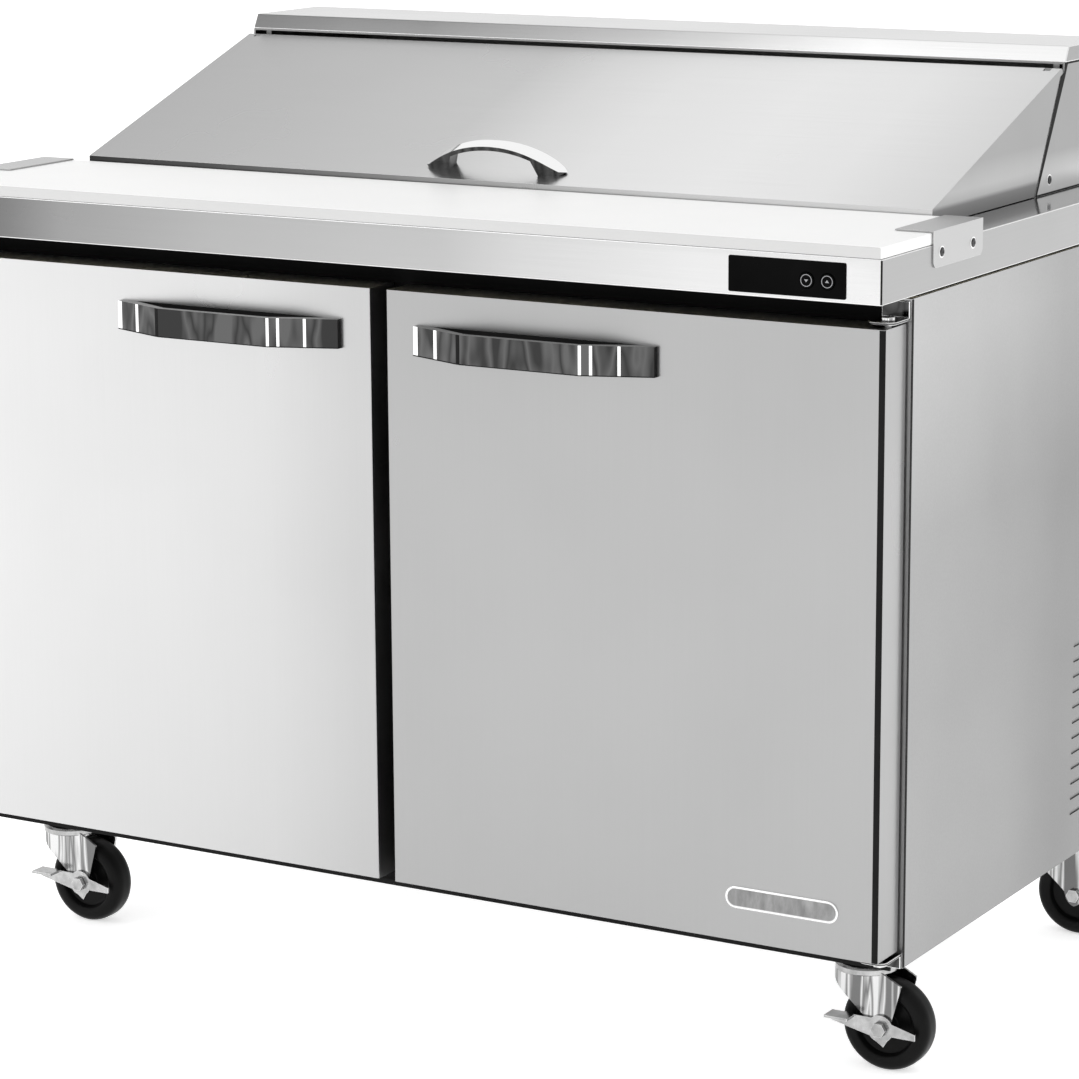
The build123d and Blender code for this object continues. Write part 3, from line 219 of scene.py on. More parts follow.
MATERIALS = {
    "fascia": steel("fascia", FASCIA_PAINTED_LIGHT, 0.26, GRAIN_X),
    # The worktop's sides and top, the lid's lip and ends, the hood and the cap's top are tones of the same steel:
    # painted light and shade by facing.
    "worktop_side": steel("worktop_side", even(0.355), 0.30, GRAIN_Y),
    "worktop_top": steel("worktop_top", even(0.70), 0.12, GRAIN_X, 0.03, 0.04),
    "lid_steel": steel("lid_steel", LID_PAINTED_LIGHT, 0.26, GRAIN_X),
    "lid_lip": steel("lid_lip", LID_LIP_PAINTED_LIGHT, 0.26, GRAIN_X),
    "lid_end": steel("lid_end", LID_END_PAINTED_LIGHT, 0.32, GRAIN_Z),
    "hood_steel": steel("hood_steel", HOOD_PAINTED_LIGHT, 0.30, GRAIN_Z),
    "cap_front": steel("cap_front", CAP_PAINTED_LIGHT, 0.24, GRAIN_X),
    "cap_top": steel("cap_top", even(0.67), 0.24, GRAIN_X),
    # The two doors are the same steel: the left one is painted lighter and the right one darker, as painted
    # reflections.
    "door_left_painted_light": steel("door_left_painted_light", LEFT_DOOR_PAINTED_LIGHT, 0.30, GRAIN_Z, 0.015, 0.05),
    "door_right_painted_shade": steel("door_right_painted_shade", even(0.364), 0.30, GRAIN_Z, 0.015, 0.05),
    "side_steel": steel("side_steel", SIDE_PAINTED_LIGHT, 0.34, SPECKLE, 0.07, 0.2),
    # Bright steel for rounded edges: painted highlights.
    "edge_highlight_steel": steel("edge_highlight_steel", even(0.80), 0.22, SPECKLE, 0.02, 0.02),
    "stainless": steel("stainless", even(0.44), 0.28, GRAIN_X),
    "chrome": steel("chrome", even(0.95), 0.07, SPECKLE, 0.02, 0.02),
    # Chrome painted dark, with streaks as painted reflections.
    "chrome_dark_reflection": reflection_streaked("chrome_dark_reflection", 0.035, 0.10, 0.12, (28, 28, 8)),
    "galvanised": steel("galvanised", even(0.60), 0.42, (45, 45, 45), 0.22, 0.15),
    "liner": steel("liner", even(0.72), 0.36, SPECKLE, 0.06, 0.25),
    "coil_fins": steel("coil_fins", even(0.68), 0.40, (1400, 4, 4), 0.30, 0.6),
    "badge_field": steel("badge_field", even(0.30), 0.16, (90, 30, 30), 0.45, 0.05),
    # Zinc with painted reflections: dark and light streaks in its colour.
    "zinc": reflection_streaked("zinc", 0.16, 0.66, 0.16, (70, 70, 5)),
    "zinc_even": steel("zinc_even", even(0.52), 0.20, (60, 60, 60), 0.45, 0.1),
    "board_white": plastic("board_white", (0.93, 0.93, 0.925), 0.006, 0.42, 1500.0, 0.10),
    # The board's front face is the same white plastic, painted darker as shade.
    "board_front_painted_shade": plastic("board_front_painted_shade", (0.58, 0.58, 0.577), 0.006, 0.42, 1500.0, 0.10),
    "black_plastic": plastic("black_plastic", (0.012, 0.012, 0.013), 0.004, 0.40),
    "header_black": plastic("header_black", (0.004, 0.004, 0.004), 0.001, 0.55, shine=0.06),
    "control_gloss": plastic("control_gloss", (0.002, 0.002, 0.002), 0.001, 0.30, 900.0, 0.01, shine=0.03),
    "seam_black": plastic("seam_black", (0.008, 0.008, 0.008), 0.002, 0.6, shine=0.1),
    "icon_grey": plastic("icon_grey", (0.30, 0.30, 0.31), 0.01, 0.4),
    "foam": plastic("foam", (0.82, 0.76, 0.55), 0.05, 0.85, 300.0, 0.5),
    "inner_panel": plastic("inner_panel", (0.80, 0.80, 0.80), 0.01, 0.35, 700.0, 0.1),
    "gasket_rubber": plastic("gasket_rubber", (0.03, 0.03, 0.03), 0.006, 0.6),
    "wheel_black": plastic("wheel_black", (0.004, 0.004, 0.004), 0.001, 0.34, 700.0, 0.12, shine=0.10),
    "copper_tube": steel("copper_tube", COPPER, 0.28, SPECKLE, 0.1, 0.1),
    "machine_black": plastic("machine_black", (0.02, 0.02, 0.02), 0.005, 0.3, 500.0, 0.1, 0.4),
    "wire_epoxy": plastic("wire_epoxy", (0.80, 0.81, 0.81), 0.02, 0.35, 600.0, 0.1),
}


# ---------------------------------------------------------------- making pieces
def finish_mesh(name, bm, materials, body, replaced=(), smooth_angle=40.0):
    """Turns a bmesh into a piece with its materials, its body and the nodes that it replaces."""
    mesh = bpy.data.meshes.new(name)
    bmesh.ops.recalc_face_normals(bm, faces=bm.faces)
    bm.to_mesh(mesh)
    bm.free()
    for material in materials:
        mesh.materials.append(MATERIALS[material])
    mesh.shade_smooth()
    mesh.set_sharp_from_angle(angle=math.radians(smooth_angle))
    piece = bpy.data.objects.new(name, mesh)
    bpy.context.scene.collection.objects.link(piece)
    weighted = piece.modifiers.new("weighted", "WEIGHTED_NORMAL")
    weighted.keep_sharp = True
    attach(piece, body)
    if replaced:
        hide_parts(*replaced)


def take_place(node, bm, materials, smooth_angle=40.0):
    """Turns a bmesh into the piece that takes a node's place."""
    finish_mesh(node + "_form", bm, materials, body_of[node], (node,), smooth_angle)


def soften(bm, width, segments=2, sharp=32.0, edge_material=None, only=None):
    """Rounds every edge that turns by more than an angle; the rounds can take their own material, used to paint
    bright highlights on rounds and, on the door handles' lower rounds, dark shade.
    """
    edges = [
        e for e in bm.edges
        if len(e.link_faces) == 2
        and e.calc_face_angle(0.0) > math.radians(sharp)
        and (only is None or only(e))
    ]
    bmesh.ops.bevel(
        bm, geom=edges, offset=width, segments=segments, profile=0.5,
        affect="EDGES", clamp_overlap=True, material=-1 if edge_material is None else edge_material,
    )


def from_node(node):
    """A bmesh of a CAD node, with its flat faces merged."""
    bm = bmesh.new()
    bm.from_mesh(nodes[node].data)
    for face in bm.faces:
        face.material_index = 0
    bmesh.ops.remove_doubles(bm, verts=bm.verts, dist=1e-6)
    bmesh.ops.dissolve_limit(
        bm, angle_limit=math.radians(0.5), verts=bm.verts, edges=bm.edges, use_dissolve_boundaries=False,
    )
    return bm


def refine(node, width, look, edge_highlight_look=None, segments=2, sharp=32.0, sides=None):
    """Takes a node's place: the same shape with rounded edges and its own materials; an edge look paints
    highlights on the rounds.

    sides maps a direction to a material, for the faces that look that way; the panels use it for painted light and
    shade, a lighter or darker tone of one steel by which way a face looks.
    """
    bm = from_node(node)
    materials = [look]
    for direction, finish in (sides or {}).items():
        materials.append(finish)
        for face in bm.faces:
            if face.normal.dot(Vector(direction)) > 0.8:
                face.material_index = len(materials) - 1
    edge_index = None
    if edge_highlight_look:
        materials.append(edge_highlight_look)
        edge_index = len(materials) - 1
    soften(bm, width * MM, segments, sharp, edge_index)
    take_place(node, bm, materials)


def islands(node):
    """The boxes of a CAD node's separate solids, as (lowest corner, highest corner)."""
    bm = bmesh.new()
    bm.from_mesh(nodes[node].data)
    bmesh.ops.remove_doubles(bm, verts=bm.verts, dist=1e-6)
    seen, boxes = set(), []
    for start in bm.verts:
        if start in seen:
            continue
        stack, group = [start], []
        seen.add(start)
        while stack:
            vert = stack.pop()
            group.append(vert.co.copy())
            for edge in vert.link_edges:
                other = edge.other_vert(vert)
                if other not in seen:
                    seen.add(other)
                    stack.append(other)
        low = Vector(min(co[i] for co in group) for i in range(3))
        high = Vector(max(co[i] for co in group) for i in range(3))
        boxes.append((low, high))
    bm.free()
    return boxes


def prism(bm, outline, place, low, high, material=0):
    """Adds a prism: outline points (u, v) between w = low and high, put in space by place(u, v, w)."""
    bottom = [bm.verts.new(place(u, v, low)) for u, v in outline]
    top = [bm.verts.new(place(u, v, high)) for u, v in outline]
    faces = [bm.faces.new(bottom), bm.faces.new(top)]
    count = len(outline)
    for i in range(count):
        j = (i + 1) % count
        faces.append(bm.faces.new((bottom[i], bottom[j], top[j], top[i])))
    for face in faces:
        face.material_index = material
    return faces


def lathe(bm, profile, place, turns=32, material=0):
    """Adds a turned solid: profile points (radius, height), put in space by place(u, v, w), w the axis."""
    rings = []
    for radius, height in profile:
        if radius < 1e-9:
            rings.append([bm.verts.new(place(0.0, 0.0, height))])
            continue
        ring = []
        for step in range(turns):
            angle = 2 * math.pi * step / turns
            ring.append(bm.verts.new(place(radius * math.cos(angle), radius * math.sin(angle), height)))
        rings.append(ring)
    for first, second in zip(rings, rings[1:]):
        for step in range(turns):
            after = (step + 1) % turns
            if len(first) == 1:
                corners = (first[0], second[step], second[after])
            elif len(second) == 1:
                corners = (first[step], first[after], second[0])
            else:
                corners = (first[step], first[after], second[after], second[step])
            bm.faces.new(corners).material_index = material


def arc_points(centre, radius, start, end, count):
    """Points on an arc, from the start angle to the end angle in degrees."""
    points = []
    for step in range(count + 1):
        angle = math.radians(start + (end - start) * step / count)
        points.append((centre[0] + radius * math.cos(angle), centre[1] + radius * math.sin(angle)))
    return points


# ---------------------------------------------------------------- panels
# The rounded edges take bright steel: painted highlights.
EDGE_HIGHLIGHT = "edge_highlight_steel"
# Painted light and shade by facing: each panel's faces take lighter or darker tones of one steel, and its rounds
# take bright painted highlights.
refine("worktop", 1.4, "fascia", EDGE_HIGHLIGHT, sides={
    (1, 0, 0): "worktop_side", (-1, 0, 0): "worktop_side", (0, 0, 1): "worktop_top", (0, 1, 0): "worktop_side",
    (0.7, -0.7, 0): "seam_black",
})
refine("side_panels", 0.9, "side_steel", EDGE_HIGHLIGHT)
# Both doors are one steel; their different tones are painted reflections.
refine("door_left_skin", 1.3, "door_left_painted_light", EDGE_HIGHLIGHT)
refine("door_right_skin", 1.3, "door_right_painted_shade", EDGE_HIGHLIGHT)
refine("lid_shell", 0.9, "lid_steel", EDGE_HIGHLIGHT, sides={
    (1, 0, 0): "lid_end", (-1, 0, 0): "lid_end", (0, -1, 0): "lid_lip",
})
refine("hood_shell", 0.7, "hood_steel", EDGE_HIGHLIGHT)
refine("hood_cap", 1.1, "cap_front", EDGE_HIGHLIGHT, sides={
    (0, 0, 1): "cap_top", (1, 0, 0): "lid_end", (-1, 0, 0): "lid_end", (0, 1, 0): "hood_steel",
})
# The board's front face takes a darker copy of its white: painted shade.
refine("cutting_board", 0.6, "board_white", None, 2, 50.0, {(0, -1, 0): "board_front_painted_shade"})
refine("board_brackets", 0.5, "stainless", EDGE_HIGHLIGHT)
refine("front_frame", 1.2, "header_black")
refine("lid_liner", 4.0, "inner_panel")
refine("food_pans", 0.4, "stainless", EDGE_HIGHLIGHT)
refine("pan_divider_bars", 1.2, "stainless", EDGE_HIGHLIGHT)
# The hinge brackets and pins take streaked plating: painted reflections.
refine("hinge_brackets", 0.9, "chrome_dark_reflection", EDGE_HIGHLIGHT)
refine("hinge_pins", 0.8, "zinc", EDGE_HIGHLIGHT)
refine("rear_grille", 0.5, "galvanised", EDGE_HIGHLIGHT)
refine("back_panel", 0.5, "galvanised", EDGE_HIGHLIGHT)
refine("power_inlet", 1.0, "black_plastic")
refine("compressor", 1.5, "machine_black")
refine("shelf_supports", 0.5, "galvanised", EDGE_HIGHLIGHT)
refine("evaporator_housing", 0.6, "liner", EDGE_HIGHLIGHT)
refine("caster_plates", 0.8, "zinc_even", EDGE_HIGHLIGHT)
refine("caster_bolts", 0.7, "zinc_even", EDGE_HIGHLIGHT)


VENT_COLUMNS = [158, 220, 282]   # where each column of side slots starts, towards the back
VENT_ROWS = [193 + 18 * row for row in range(12)]
BLADE_LENGTH = 52
BLADE = [(0.1, -3.6), (0.9, 3.6), (1.6, 3.6), (0.8, -3.6)]
PANEL_SHEET = 2


def side_louvres():
    """Slanted blades pressed behind the slots of both side panels."""
    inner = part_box("side_panels")[1].x - PANEL_SHEET * MM
    bm = bmesh.new()
    for side in (-1, 1):
        for start in VENT_COLUMNS:
            for middle in VENT_ROWS:
                def place(u, v, w, side=side, middle=middle):
                    return Vector((side * (inner - u * MM), w * MM, (middle + v) * MM))

                prism(bm, BLADE, place, start, start + BLADE_LENGTH)
    finish_mesh("side_louvres", bm, ["side_steel"], body_of["side_panels"])


side_louvres()


def door_seam(node, side):
    """A black strip that wraps a door's outer front corner, from bottom to top: a painted dark line for the edge's
    dark reflection.
    """
    low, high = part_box(node)
    edge = max(side * low.x, side * high.x)

    def place(u, v, w):
        return Vector((side * (edge - u * MM), low.y + v * MM, w))

    bm = bmesh.new()
    rounded = [(1.16, -0.03), (0.44, 0.44), (-0.03, 1.16)]
    outline = [(6.0, 0.4), (6.0, -0.2), (2.0, -0.2)] + rounded + [(-0.2, 2.0), (0.4, 2.6)]
    prism(bm, outline, place, low.z + 0.4 * MM, high.z - 0.4 * MM)
    finish_mesh(node.replace("_skin", "_seam"), bm, ["seam_black"], body_of[node])


door_seam("door_left_skin", -1)
door_seam("door_right_skin", 1)


def base_lip():
    """The dark lip of the front frame that shows as a line under the doors."""
    low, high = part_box("front_frame")

    def place(u, v, w):
        return Vector((u, v, low.z + w * MM))

    bm = bmesh.new()
    front, back = low.y + 0.2 * MM, low.y + 3.2 * MM
    outline = [(low.x, front), (high.x, front), (high.x, back), (low.x, back)]
    prism(bm, outline, place, -5.5, 0.5)
    soften(bm, 0.4 * MM)
    finish_mesh("base_lip", bm, ["seam_black"], body_of["front_frame"])


base_lip()


def worktop_seal():
    """Black sealing strips between the cabinet's sides and back and the worktop's folded edge."""
    case_low, case_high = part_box("side_panels")
    bm = bmesh.new()
    bottom, top = case_high.z + 0.1 * MM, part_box("worktop")[0].z - 0.1 * MM
    half, front, back = case_high.x - 3 * MM, case_low.y + 18 * MM, case_high.y - 5 * MM

    def place(u, v, w):
        return Vector((u, v, w))

    for side in (-1, 1):
        inner, outer = side * (half - 8 * MM), side * half
        prism(bm, [(inner, front), (outer, front), (outer, back), (inner, back)], place, bottom, top)
    near, far = back + 0.1 * MM, back + 3 * MM
    prism(bm, [(-half, near), (half, near), (half, far), (-half, far)], place, bottom, top)
    finish_mesh("worktop_seal", bm, ["seam_black"], body_of["worktop"])


worktop_seal()


def case_edge():
    """Black strips down the front of both side panels, where the doors close: painted shade along the panels'
    front edges.
    """
    low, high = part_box("side_panels")
    bm = bmesh.new()
    outline = [(-0.2, low.y), (0.3, low.y), (0.3, low.y + 4 * MM), (-0.2, low.y + 4 * MM)]
    for side in (-1, 1):
        def place(u, v, w, side=side):
            return Vector((side * (high.x + u * MM), v, w))

        prism(bm, outline, place, low.z + 0.5 * MM, high.z - 0.5 * MM)
    finish_mesh("case_edge", bm, ["seam_black"], body_of["side_panels"])


case_edge()


def hood_seal():
    """Black sealing on both ends of the hood: up the joint with the lid, under the cap and along the foot."""
    low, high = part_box("hood_shell")
    front, back = low.y / MM + 0.2, high.y / MM - 0.2
    foot, top = low.z / MM + 0.2, high.z / MM - 0.2
    joint = [
        (front, foot), (front + 67, top - 14.5), (front + 76.3, top - 10.5), (front + 77.8, top),
        (front + 87, top), (front + 79, top - 16), (front + 4.5, foot),
    ]
    under_cap = [(front + 84, top - 2), (front + 84, top), (back, top), (back, top - 2)]
    along_foot = [(front + 3, foot), (back, foot), (back, foot + 1.8), (front + 3, foot + 1.8)]
    bm = bmesh.new()
    for side in (-1, 1):
        def place(u, v, w, side=side):
            return Vector((side * (high.x + w * MM), u * MM, v * MM))

        for outline in (joint, under_cap, along_foot):
            prism(bm, outline, place, -0.2, 0.3)
    finish_mesh("hood_seal", bm, ["seam_black"], body_of["hood_shell"])


hood_seal()


# ---------------------------------------------------------------- inner nodes kept as they are
CARRIED = {
    "base_pan": "galvanised", "insulation": "foam", "interior_liner": "liner", "lid_hinge_pins": "chrome",
    "evaporator_coil": "coil_fins", "evaporator_fan": "black_plastic", "condenser_fan": "black_plastic",
    "fan_motors": "machine_black", "condenser_coil": "coil_fins", "refrigerant_lines": "copper_tube",
    "door_left_gasket": "gasket_rubber", "door_right_gasket": "gasket_rubber",
    "door_left_core": "inner_panel", "door_right_core": "inner_panel",
    "wire_shelves": "wire_epoxy",
}
for node, look in CARRIED.items():
    mesh = nodes[node].data
    mesh.materials.clear()
    mesh.materials.append(MATERIALS[look])
    mesh.shade_smooth()
    mesh.set_sharp_from_angle(angle=math.radians(35))


# ---------------------------------------------------------------- door handles
BAR_END = 72                     # where the nearly flat front bar turns into the sloping ends
END_STAND = 6                    # how far the handle's tips stand off the door


def door_handle(node):
    """A chrome bow on a thin dark back plate: sloping ends and a nearly flat front bar. Its highlights, dark
    reflections and shade are painted as facets and rounds of bright, dark and black material, and the plate is a
    painted dark reflection and shadow on the door.
    """
    low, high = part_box(node)
    middle = (low.x + high.x) / 2
    door_face = high.y
    half = (high.x - low.x) / 2 / MM
    stand = (high.y - low.y) / MM
    bar_stand = stand - 0.7
    slope = (bar_stand - END_STAND) / (half - BAR_END)

    def on_ramp(x):
        return (x, bar_stand - slope * (abs(x) - BAR_END))

    # Each facet of the front starts at its point and runs to the next one with its own tone: bright facets are
    # painted highlights, dark ones painted dark reflections, black ones painted shade.
    dark, bright, black = 0, 1, 2
    front = [((-half, 0.0), dark), (on_ramp(-half), bright), (on_ramp(7 - half), dark)]
    front += [(on_ramp(33 - half), bright), (on_ramp(38 - half), dark), (on_ramp(-78), black)]
    front += [(on_ramp(-BAR_END), dark), ((0.0, stand), dark), (on_ramp(BAR_END), bright), (on_ramp(75), dark)]
    front += [(on_ramp(83), bright), (on_ramp(86), dark), (on_ramp(111), bright), (on_ramp(114), dark)]
    front += [(on_ramp(half), black)]
    bar_back = [(70, stand - 9), (0.0, stand - 8.6), (-70, stand - 9)]
    back = [(half, 0.0), (half - 20, 0.0)] + bar_back + [(20 - half, 0.0)]
    outline = [point for point, facet in front] + back
    facets = [facet for point, facet in front] + [black] * len(back)

    def place(u, v, w):
        return Vector((middle + u * MM, door_face - v * MM, low.z + w))

    height = high.z - low.z
    bm = bmesh.new()
    for face, facet in zip(prism(bm, outline, place, 0.0, height)[2:], facets):
        face.material_index = facet
    # Painted highlights on the upper rounds and painted shade on the lower rounds.
    soften(bm, 1.6 * MM, 3, 60.0, bright, lambda e: min(v.co.z for v in e.verts) > low.z + height / 2)
    soften(bm, 1.0 * MM, 2, 60.0, black, lambda e: max(v.co.z for v in e.verts) < low.z + height / 2)
    # The plate is painted: a dark sheet for the handle's dark reflection and shadow on the door.
    plate = [(16 - half, 0.05), (16 - half, 0.5), (half - 16, 0.5), (half - 16, 0.05)]
    prism(bm, plate, place, 0.5 * MM, height, black)
    for vertex in bm.verts:
        vertex.co.y = max(vertex.co.y, low.y)
    take_place(node, bm, ["chrome_dark_reflection", "chrome", "seam_black"], 30.0)


door_handle("door_left_handle")
door_handle("door_right_handle")


# ---------------------------------------------------------------- lid handle
LID_SLOPE = math.radians(19.36)
ARCH_RISE = 32
ARCH_BASE = 18                   # from the handle's middle down to the lid
ARCH_STRAP = 5
ARCH_FLAT = 0.6                  # the part of the half length over which the strap stands free


def lid_handle():
    """A chrome arch on the lid's slope: a broad strap that runs out into two pointed feet. Its top face and rounds
    are painted bright as highlights, its sides dark as painted reflections.
    """
    low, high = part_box("lid_handle")
    along = Vector((0, math.cos(LID_SLOPE), math.sin(LID_SLOPE)))
    out = Vector((0, -math.sin(LID_SLOPE), math.cos(LID_SLOPE)))
    centre = (low + high) / 2
    half = (high.x - low.x) / 2
    base = Vector((0, centre.y, centre.z)) - out * (ARCH_BASE * MM)
    steps = 28
    bm = bmesh.new()
    rings = []
    for step in range(steps + 1):
        u = -1 + 2 * step / steps
        height = ARCH_RISE * MM * (1 - abs(u) ** 2.2)
        thick = ARCH_STRAP * MM if abs(u) < ARCH_FLAT else height
        width = (9.0 + 1.8 * abs(u)) * MM * math.sqrt(max(1 - abs(u) ** 8, 0.02))
        top = max(height, 2.2 * MM)
        bottom = max(top - thick, 0.0)
        ring = []
        for side, level in ((-1, bottom), (-1, top), (1, top), (1, bottom)):
            point = base + Vector((half * u, 0, 0)) + along * (side * width) + out * level
            ring.append(bm.verts.new(point))
        rings.append(ring)
    for first, second in zip(rings, rings[1:]):
        for i in range(4):
            j = (i + 1) % 4
            face = bm.faces.new((first[i], first[j], second[j], second[i]))
            # The top face takes the bright chrome: a painted highlight.
            face.material_index = 1 if i == 1 else 0
    bm.faces.new(rings[0])
    bm.faces.new(rings[-1])
    soften(bm, 1.2 * MM, 2, 40.0, 1)
    take_place("lid_handle", bm, ["chrome_dark_reflection", "chrome"], 50.0)


lid_handle()


# ---------------------------------------------------------------- screws
def panel_screws():
    """Dark pan-head screws, each on a bright pressed dimple."""
    bm = bmesh.new()
    for low, high in islands("panel_screws"):
        outward = 1 if high.x > 0 else -1
        wall = (high.x if outward > 0 else low.x) - outward * 1.6 * MM
        centre_y = (low.y + high.y) / 2
        centre_z = (low.z + high.z) / 2

        def place(u, v, w, wall=wall, outward=outward, y=centre_y, z=centre_z):
            return Vector((wall + outward * w, y + u, z + v))

        # The dimple ring is drawn in the bright edge steel: a painted highlight.
        lathe(bm, [(6.4 * MM, 0.0), (6.2 * MM, 0.3 * MM), (4.9 * MM, 0.35 * MM)], place, 28, 1)
        head = [(4.9 * MM, 0.3 * MM), (4.8 * MM, 0.8 * MM), (4.0 * MM, 1.25 * MM), (2.0 * MM, 1.5 * MM)]
        lathe(bm, head + [(1.6 * MM, 1.0 * MM), (0.0, 0.8 * MM)], place, 28, 0)
    take_place("panel_screws", bm, ["black_plastic", "edge_highlight_steel"], 50.0)


panel_screws()


# ---------------------------------------------------------------- temperature control
def control_icons(button, glyph):
    """A generic ring and mark printed on a round button."""
    low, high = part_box(button)
    centre_x = (low.x + high.x) / 2
    centre_z = (low.z + high.z) / 2

    def place(u, v, w):
        return Vector((centre_x + u, low.y - w, centre_z + v))

    bm = bmesh.new()
    sunk, proud = -0.05 * MM, 0.12 * MM
    inner, outer = 5.6 * MM, 6.3 * MM
    lathe(bm, [(inner, sunk), (inner, proud), (outer, proud), (outer, sunk)], place, 40)
    prism(bm, glyph, place, sunk, proud)
    finish_mesh(button + "_icon", bm, ["icon_grey"], body_of[button])


refine("controller", 0.7, "control_gloss")
refine("button_left", 0.4, "control_gloss", None, 2, 50.0)
refine("button_right", 0.4, "control_gloss", None, 2, 50.0)
down = [(-2.2 * MM, 1.0 * MM), (2.2 * MM, 1.0 * MM), (0.0, -1.9 * MM)]
up = [(-2.2 * MM, -1.0 * MM), (0.0, 1.9 * MM), (2.2 * MM, -1.0 * MM)]
control_icons("button_left", down)
control_icons("button_right", up)


# ---------------------------------------------------------------- door badge
def door_badge():
    """A blank chrome plate with a raised rim around a darker field."""
    low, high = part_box("door_badge")
    radius = (high.z - low.z) / 2
    centre_z = (low.z + high.z) / 2

    def slot_outline(inset):
        r = radius - inset
        right = arc_points((high.x - radius, centre_z), r, -90, 90, 14)
        left = arc_points((low.x + radius, centre_z), r, 90, 270, 14)
        return right + left

    def place(u, v, w):
        return Vector((u, high.y - w, v))

    bm = bmesh.new()
    rim = [(0.0, 0.0), (0.0, 1.0), (0.5, 1.4), (2.2, 1.4), (2.7, 0.9)]
    loops = []
    for inset, height in rim:
        loops.append([bm.verts.new(place(u, v, height * MM)) for u, v in slot_outline(inset * MM)])
    # The rim is drawn in the bright edge steel: a painted highlight.
    for first, second in zip(loops, loops[1:]):
        for i in range(len(first)):
            j = (i + 1) % len(first)
            bm.faces.new((first[i], first[j], second[j], second[i]))
    bm.faces.new(loops[0])
    bm.faces.new(loops[-1]).material_index = 1
    take_place("door_badge", bm, ["edge_highlight_steel", "badge_field"], 30.0)


door_badge()


# ---------------------------------------------------------------- casters
FORK_OUT = 21.6                  # from the swivel's middle to the outside of a cheek
FORK_WALL = 3.0
FORK_BEND = 14                   # ahead of the swivel pin, where the leading bend begins
FORK_REACH = 50                  # behind the swivel pin, where the cheeks end
RACE = 10.5                      # height of the ball race above the crown


def fork(name):
    """A pressed fork: a sheet bent round the leading side of the wheel, under a crown and its race."""
    pin = joint_at[name + "_swivel"]
    hub = joint_at[name + "_roll"]
    crown_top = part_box(name + "_fork")[1].z - RACE * MM
    mid = (FORK_OUT - FORK_WALL / 2) * MM
    bend = pin.x - FORK_BEND * MM
    reach = pin.x + FORK_REACH * MM

    def top_of(x):
        """The cheek's upper edge: level under the crown, then falling to the tip."""
        start = pin.x + 16 * MM
        return crown_top - max(0.0, (x - start) / (reach - start)) * 18 * MM

    def bottom_of(x):
        """The cheek's lower edge: it falls to a rounded eye at the axle and rises again behind it."""
        lead = hub.x - 13 * MM
        rear = hub.x + 11 * MM
        if x < lead:
            return hub.z + 4 * MM + (lead - x) / (lead - bend + mid) * 44 * MM
        if x < rear:
            across = (x - hub.x) / (12 * MM)
            return hub.z - 14 * MM * math.sqrt(max(1 - across * across * 0.95, 0.0)) + 3 * MM * abs(across)
        return hub.z + 6 * MM + (x - rear) / (reach - rear) * 40 * MM

    # The sheet's middle line seen from above, as points with their outward normals.
    plan = []
    straight = 26
    for step in range(straight):
        x = reach + (bend - reach) * step / straight
        plan.append((x, -mid, (0, -1)))
    turn = 18
    for step in range(turn + 1):
        angle = -math.pi / 2 - math.pi * step / turn
        normal = (math.cos(angle), math.sin(angle))
        plan.append((bend + mid * normal[0], mid * normal[1], normal))
    for step in range(1, straight + 1):
        x = bend + (reach - bend) * step / straight
        plan.append((x, mid, (0, 1)))
    bm = bmesh.new()
    columns = []
    half = FORK_WALL / 2 * MM
    for x, y, normal in plan:
        upper, lower = top_of(x), bottom_of(x)
        if upper - lower < 2 * MM:
            lower = upper - 2 * MM
        column = []
        for side, level in ((1, upper), (1, lower), (-1, lower), (-1, upper)):
            point = (x + side * half * normal[0], pin.y + y + side * half * normal[1], level)
            column.append(bm.verts.new(point))
        columns.append(column)
    for first, second in zip(columns, columns[1:]):
        for i in range(4):
            j = (i + 1) % 4
            bm.faces.new((first[i], first[j], second[j], second[i]))
    bm.faces.new(columns[0])
    bm.faces.new(columns[-1])
    # The rounds take the bright edge steel: painted highlights.
    soften(bm, 0.8 * MM, 2, 50.0, 1)

    def upright(u, v, w):
        return Vector((pin.x + u, pin.y + v, w))

    bore = 6.1
    crown = [(bore, -9.0), (33.0, -9.0), (34.0, -8.0), (34.0, -3.0), (32.0, -0.8), (29.0, 0.0), (bore, 0.0)]
    race = [(bore, 0.1), (26.0, 0.1), (27.0, 3.0), (30.5, 4.0), (30.5, 6.0), (27.0, 7.0), (27.0, RACE)]
    race.append((bore, RACE))
    # The race is drawn black: painted shadow between the fork's crown and the caster plate.
    for profile, look in ((crown, 2), (race, 3)):
        lathe(bm, [(r * MM, crown_top + h * MM) for r, h in profile + profile[:1]], upright, 48, look)
    take_place(name + "_fork", bm, ["zinc", "edge_highlight_steel", "zinc_even", "seam_black"])


# Half of a wheel's profile, from the bore out to the tread, as (radius, distance from the middle).
WHEEL_PROFILE = [
    (5.1, 18.2), (11.0, 18.2), (12.2, 17.4), (13.4, 10.0), (15.0, 8.6), (29.0, 8.0), (31.5, 8.8), (33.6, 13.6),
    (35.2, 15.4), (37.0, 16.0), (41.5, 16.0), (45.0, 15.2), (47.8, 13.4), (49.6, 10.6), (50.5, 7.4), (50.8, 4.0),
]


def wheel(name):
    """A solid rubber wheel: rounded tread, stepped side faces and a plain hub."""
    hub = joint_at[name + "_roll"]
    low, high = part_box(name + "_wheel")
    radius = (high.z - low.z) / 2

    def place(u, v, w):
        return Vector((hub.x + u, hub.y + w, hub.z + v))

    scale = radius / WHEEL_PROFILE[-1][0]
    profile = [(r * scale, h * MM) for r, h in WHEEL_PROFILE]
    profile += [(r, -h) for r, h in reversed(profile)]
    bm = bmesh.new()
    lathe(bm, profile + [profile[0]], place, 96)
    take_place(name + "_wheel", bm, ["wheel_black"])


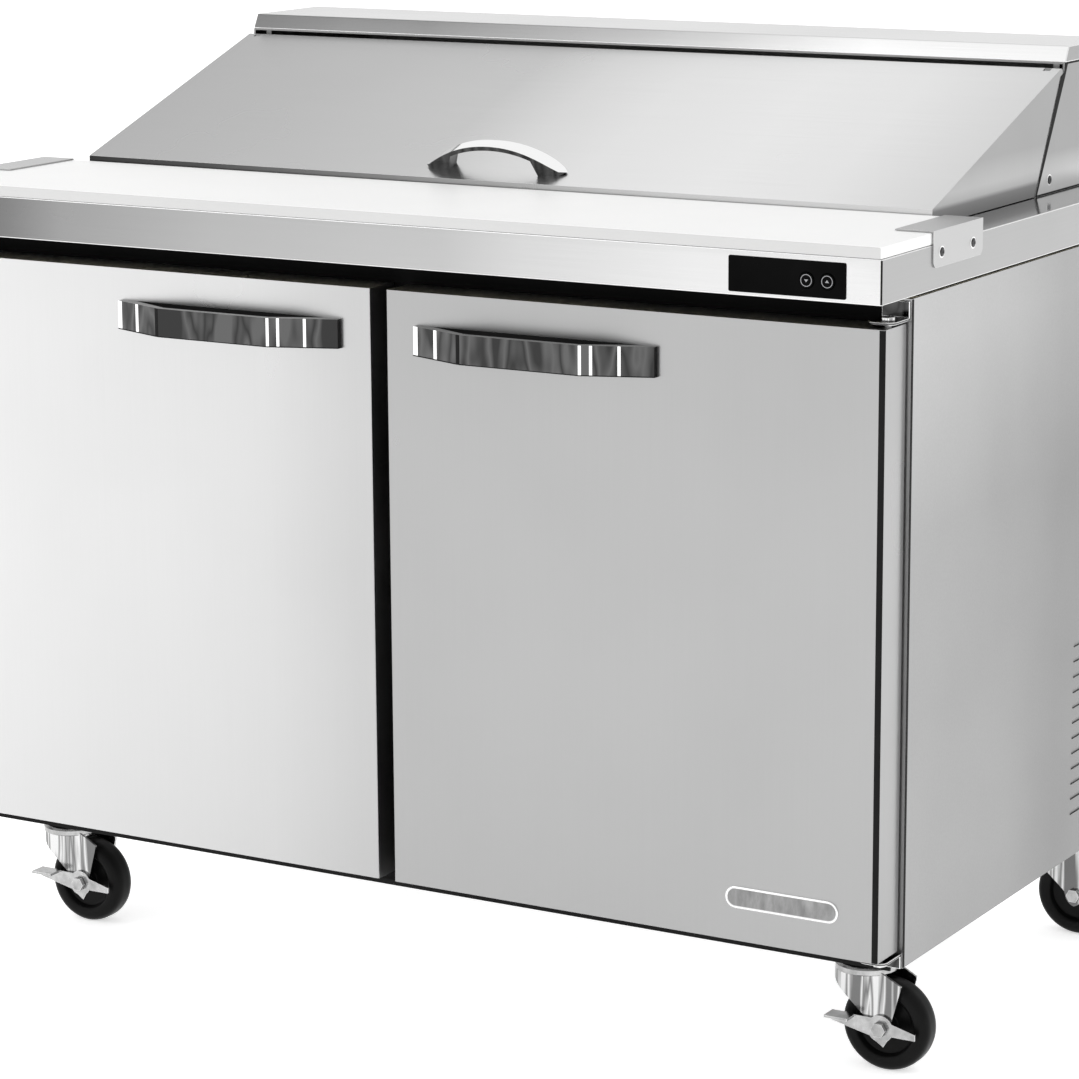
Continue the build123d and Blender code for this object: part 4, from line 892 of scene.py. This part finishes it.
for caster in ("caster_front_left", "caster_front_right", "caster_rear_left", "caster_rear_right"):
    fork(caster)
    wheel(caster)
    refine(caster + "_axle", 0.7, "zinc_even", EDGE_HIGHLIGHT)
for caster in ("caster_front_left", "caster_front_right"):
    refine(caster + "_brake", 0.8, "zinc_even", EDGE_HIGHLIGHT)


# ---------------------------------------------------------------- studio
def studio():
    """A pale floor and an even white surround."""
    bm = bmesh.new()
    bmesh.ops.create_grid(bm, x_segments=1, y_segments=1, size=40)
    mesh = bpy.data.meshes.new("studio_floor")
    bm.to_mesh(mesh)
    bm.free()
    floor = bpy.data.objects.new("studio_floor", mesh)
    bpy.context.scene.collection.objects.link(floor)
    material, _, shader = new_material("studio_floor")
    shader.inputs["Base Color"].default_value = (0.95, 0.95, 0.95, 1)
    shader.inputs["Roughness"].default_value = 0.95
    shader.inputs["Specular IOR Level"].default_value = 0.1
    shader.inputs["Emission Color"].default_value = (1, 1, 1, 1)
    shader.inputs["Emission Strength"].default_value = 0.55
    mesh.materials.append(material)

    world = bpy.data.worlds.new("studio")
    world.use_nodes = True
    background = world.node_tree.nodes["Background"]
    background.inputs["Color"].default_value = (1, 1, 1, 1)
    background.inputs["Strength"].default_value = 0.97
    bpy.context.scene.world = world


def soft_box(name, place, target, width, height, power):
    """A rectangular area light that points at a target."""
    data = bpy.data.lights.new(name, "AREA")
    data.shape = "RECTANGLE"
    data.size = width
    data.size_y = height
    data.energy = power
    light = bpy.data.objects.new(name, data)
    light.location = place
    light.rotation_mode = "QUATERNION"
    light.rotation_quaternion = (Vector(target) - Vector(place)).to_track_quat("-Z", "Y")
    bpy.context.scene.collection.objects.link(light)


studio()
soft_box("key", (-2.6, -3.2, 3.4), (0, 0, 0.5), 2.4, 2.0, 22)


# ---------------------------------------------------------------- camera
YAW, PITCH, ROLL = 0.5299, 0.2141, -0.0064
lens = bpy.data.cameras.new("camera")
lens.sensor_width = 36.0
lens.lens = 126.21687
lens.clip_end = 100.0
camera = bpy.data.objects.new("camera", lens)
camera.location = (2.1899, -3.7397, 1.4238)
level = math.cos(PITCH)
forward = Vector((-math.sin(YAW) * level, math.cos(YAW) * level, -math.sin(PITCH)))
camera.rotation_mode = "QUATERNION"
camera.rotation_quaternion = forward.to_track_quat("-Z", "Y") @ Matrix.Rotation(ROLL, 3, "Z").to_quaternion()
bpy.context.scene.collection.objects.link(camera)
bpy.context.scene.camera = camera
bpy.context.scene.view_settings.view_transform = "Standard"
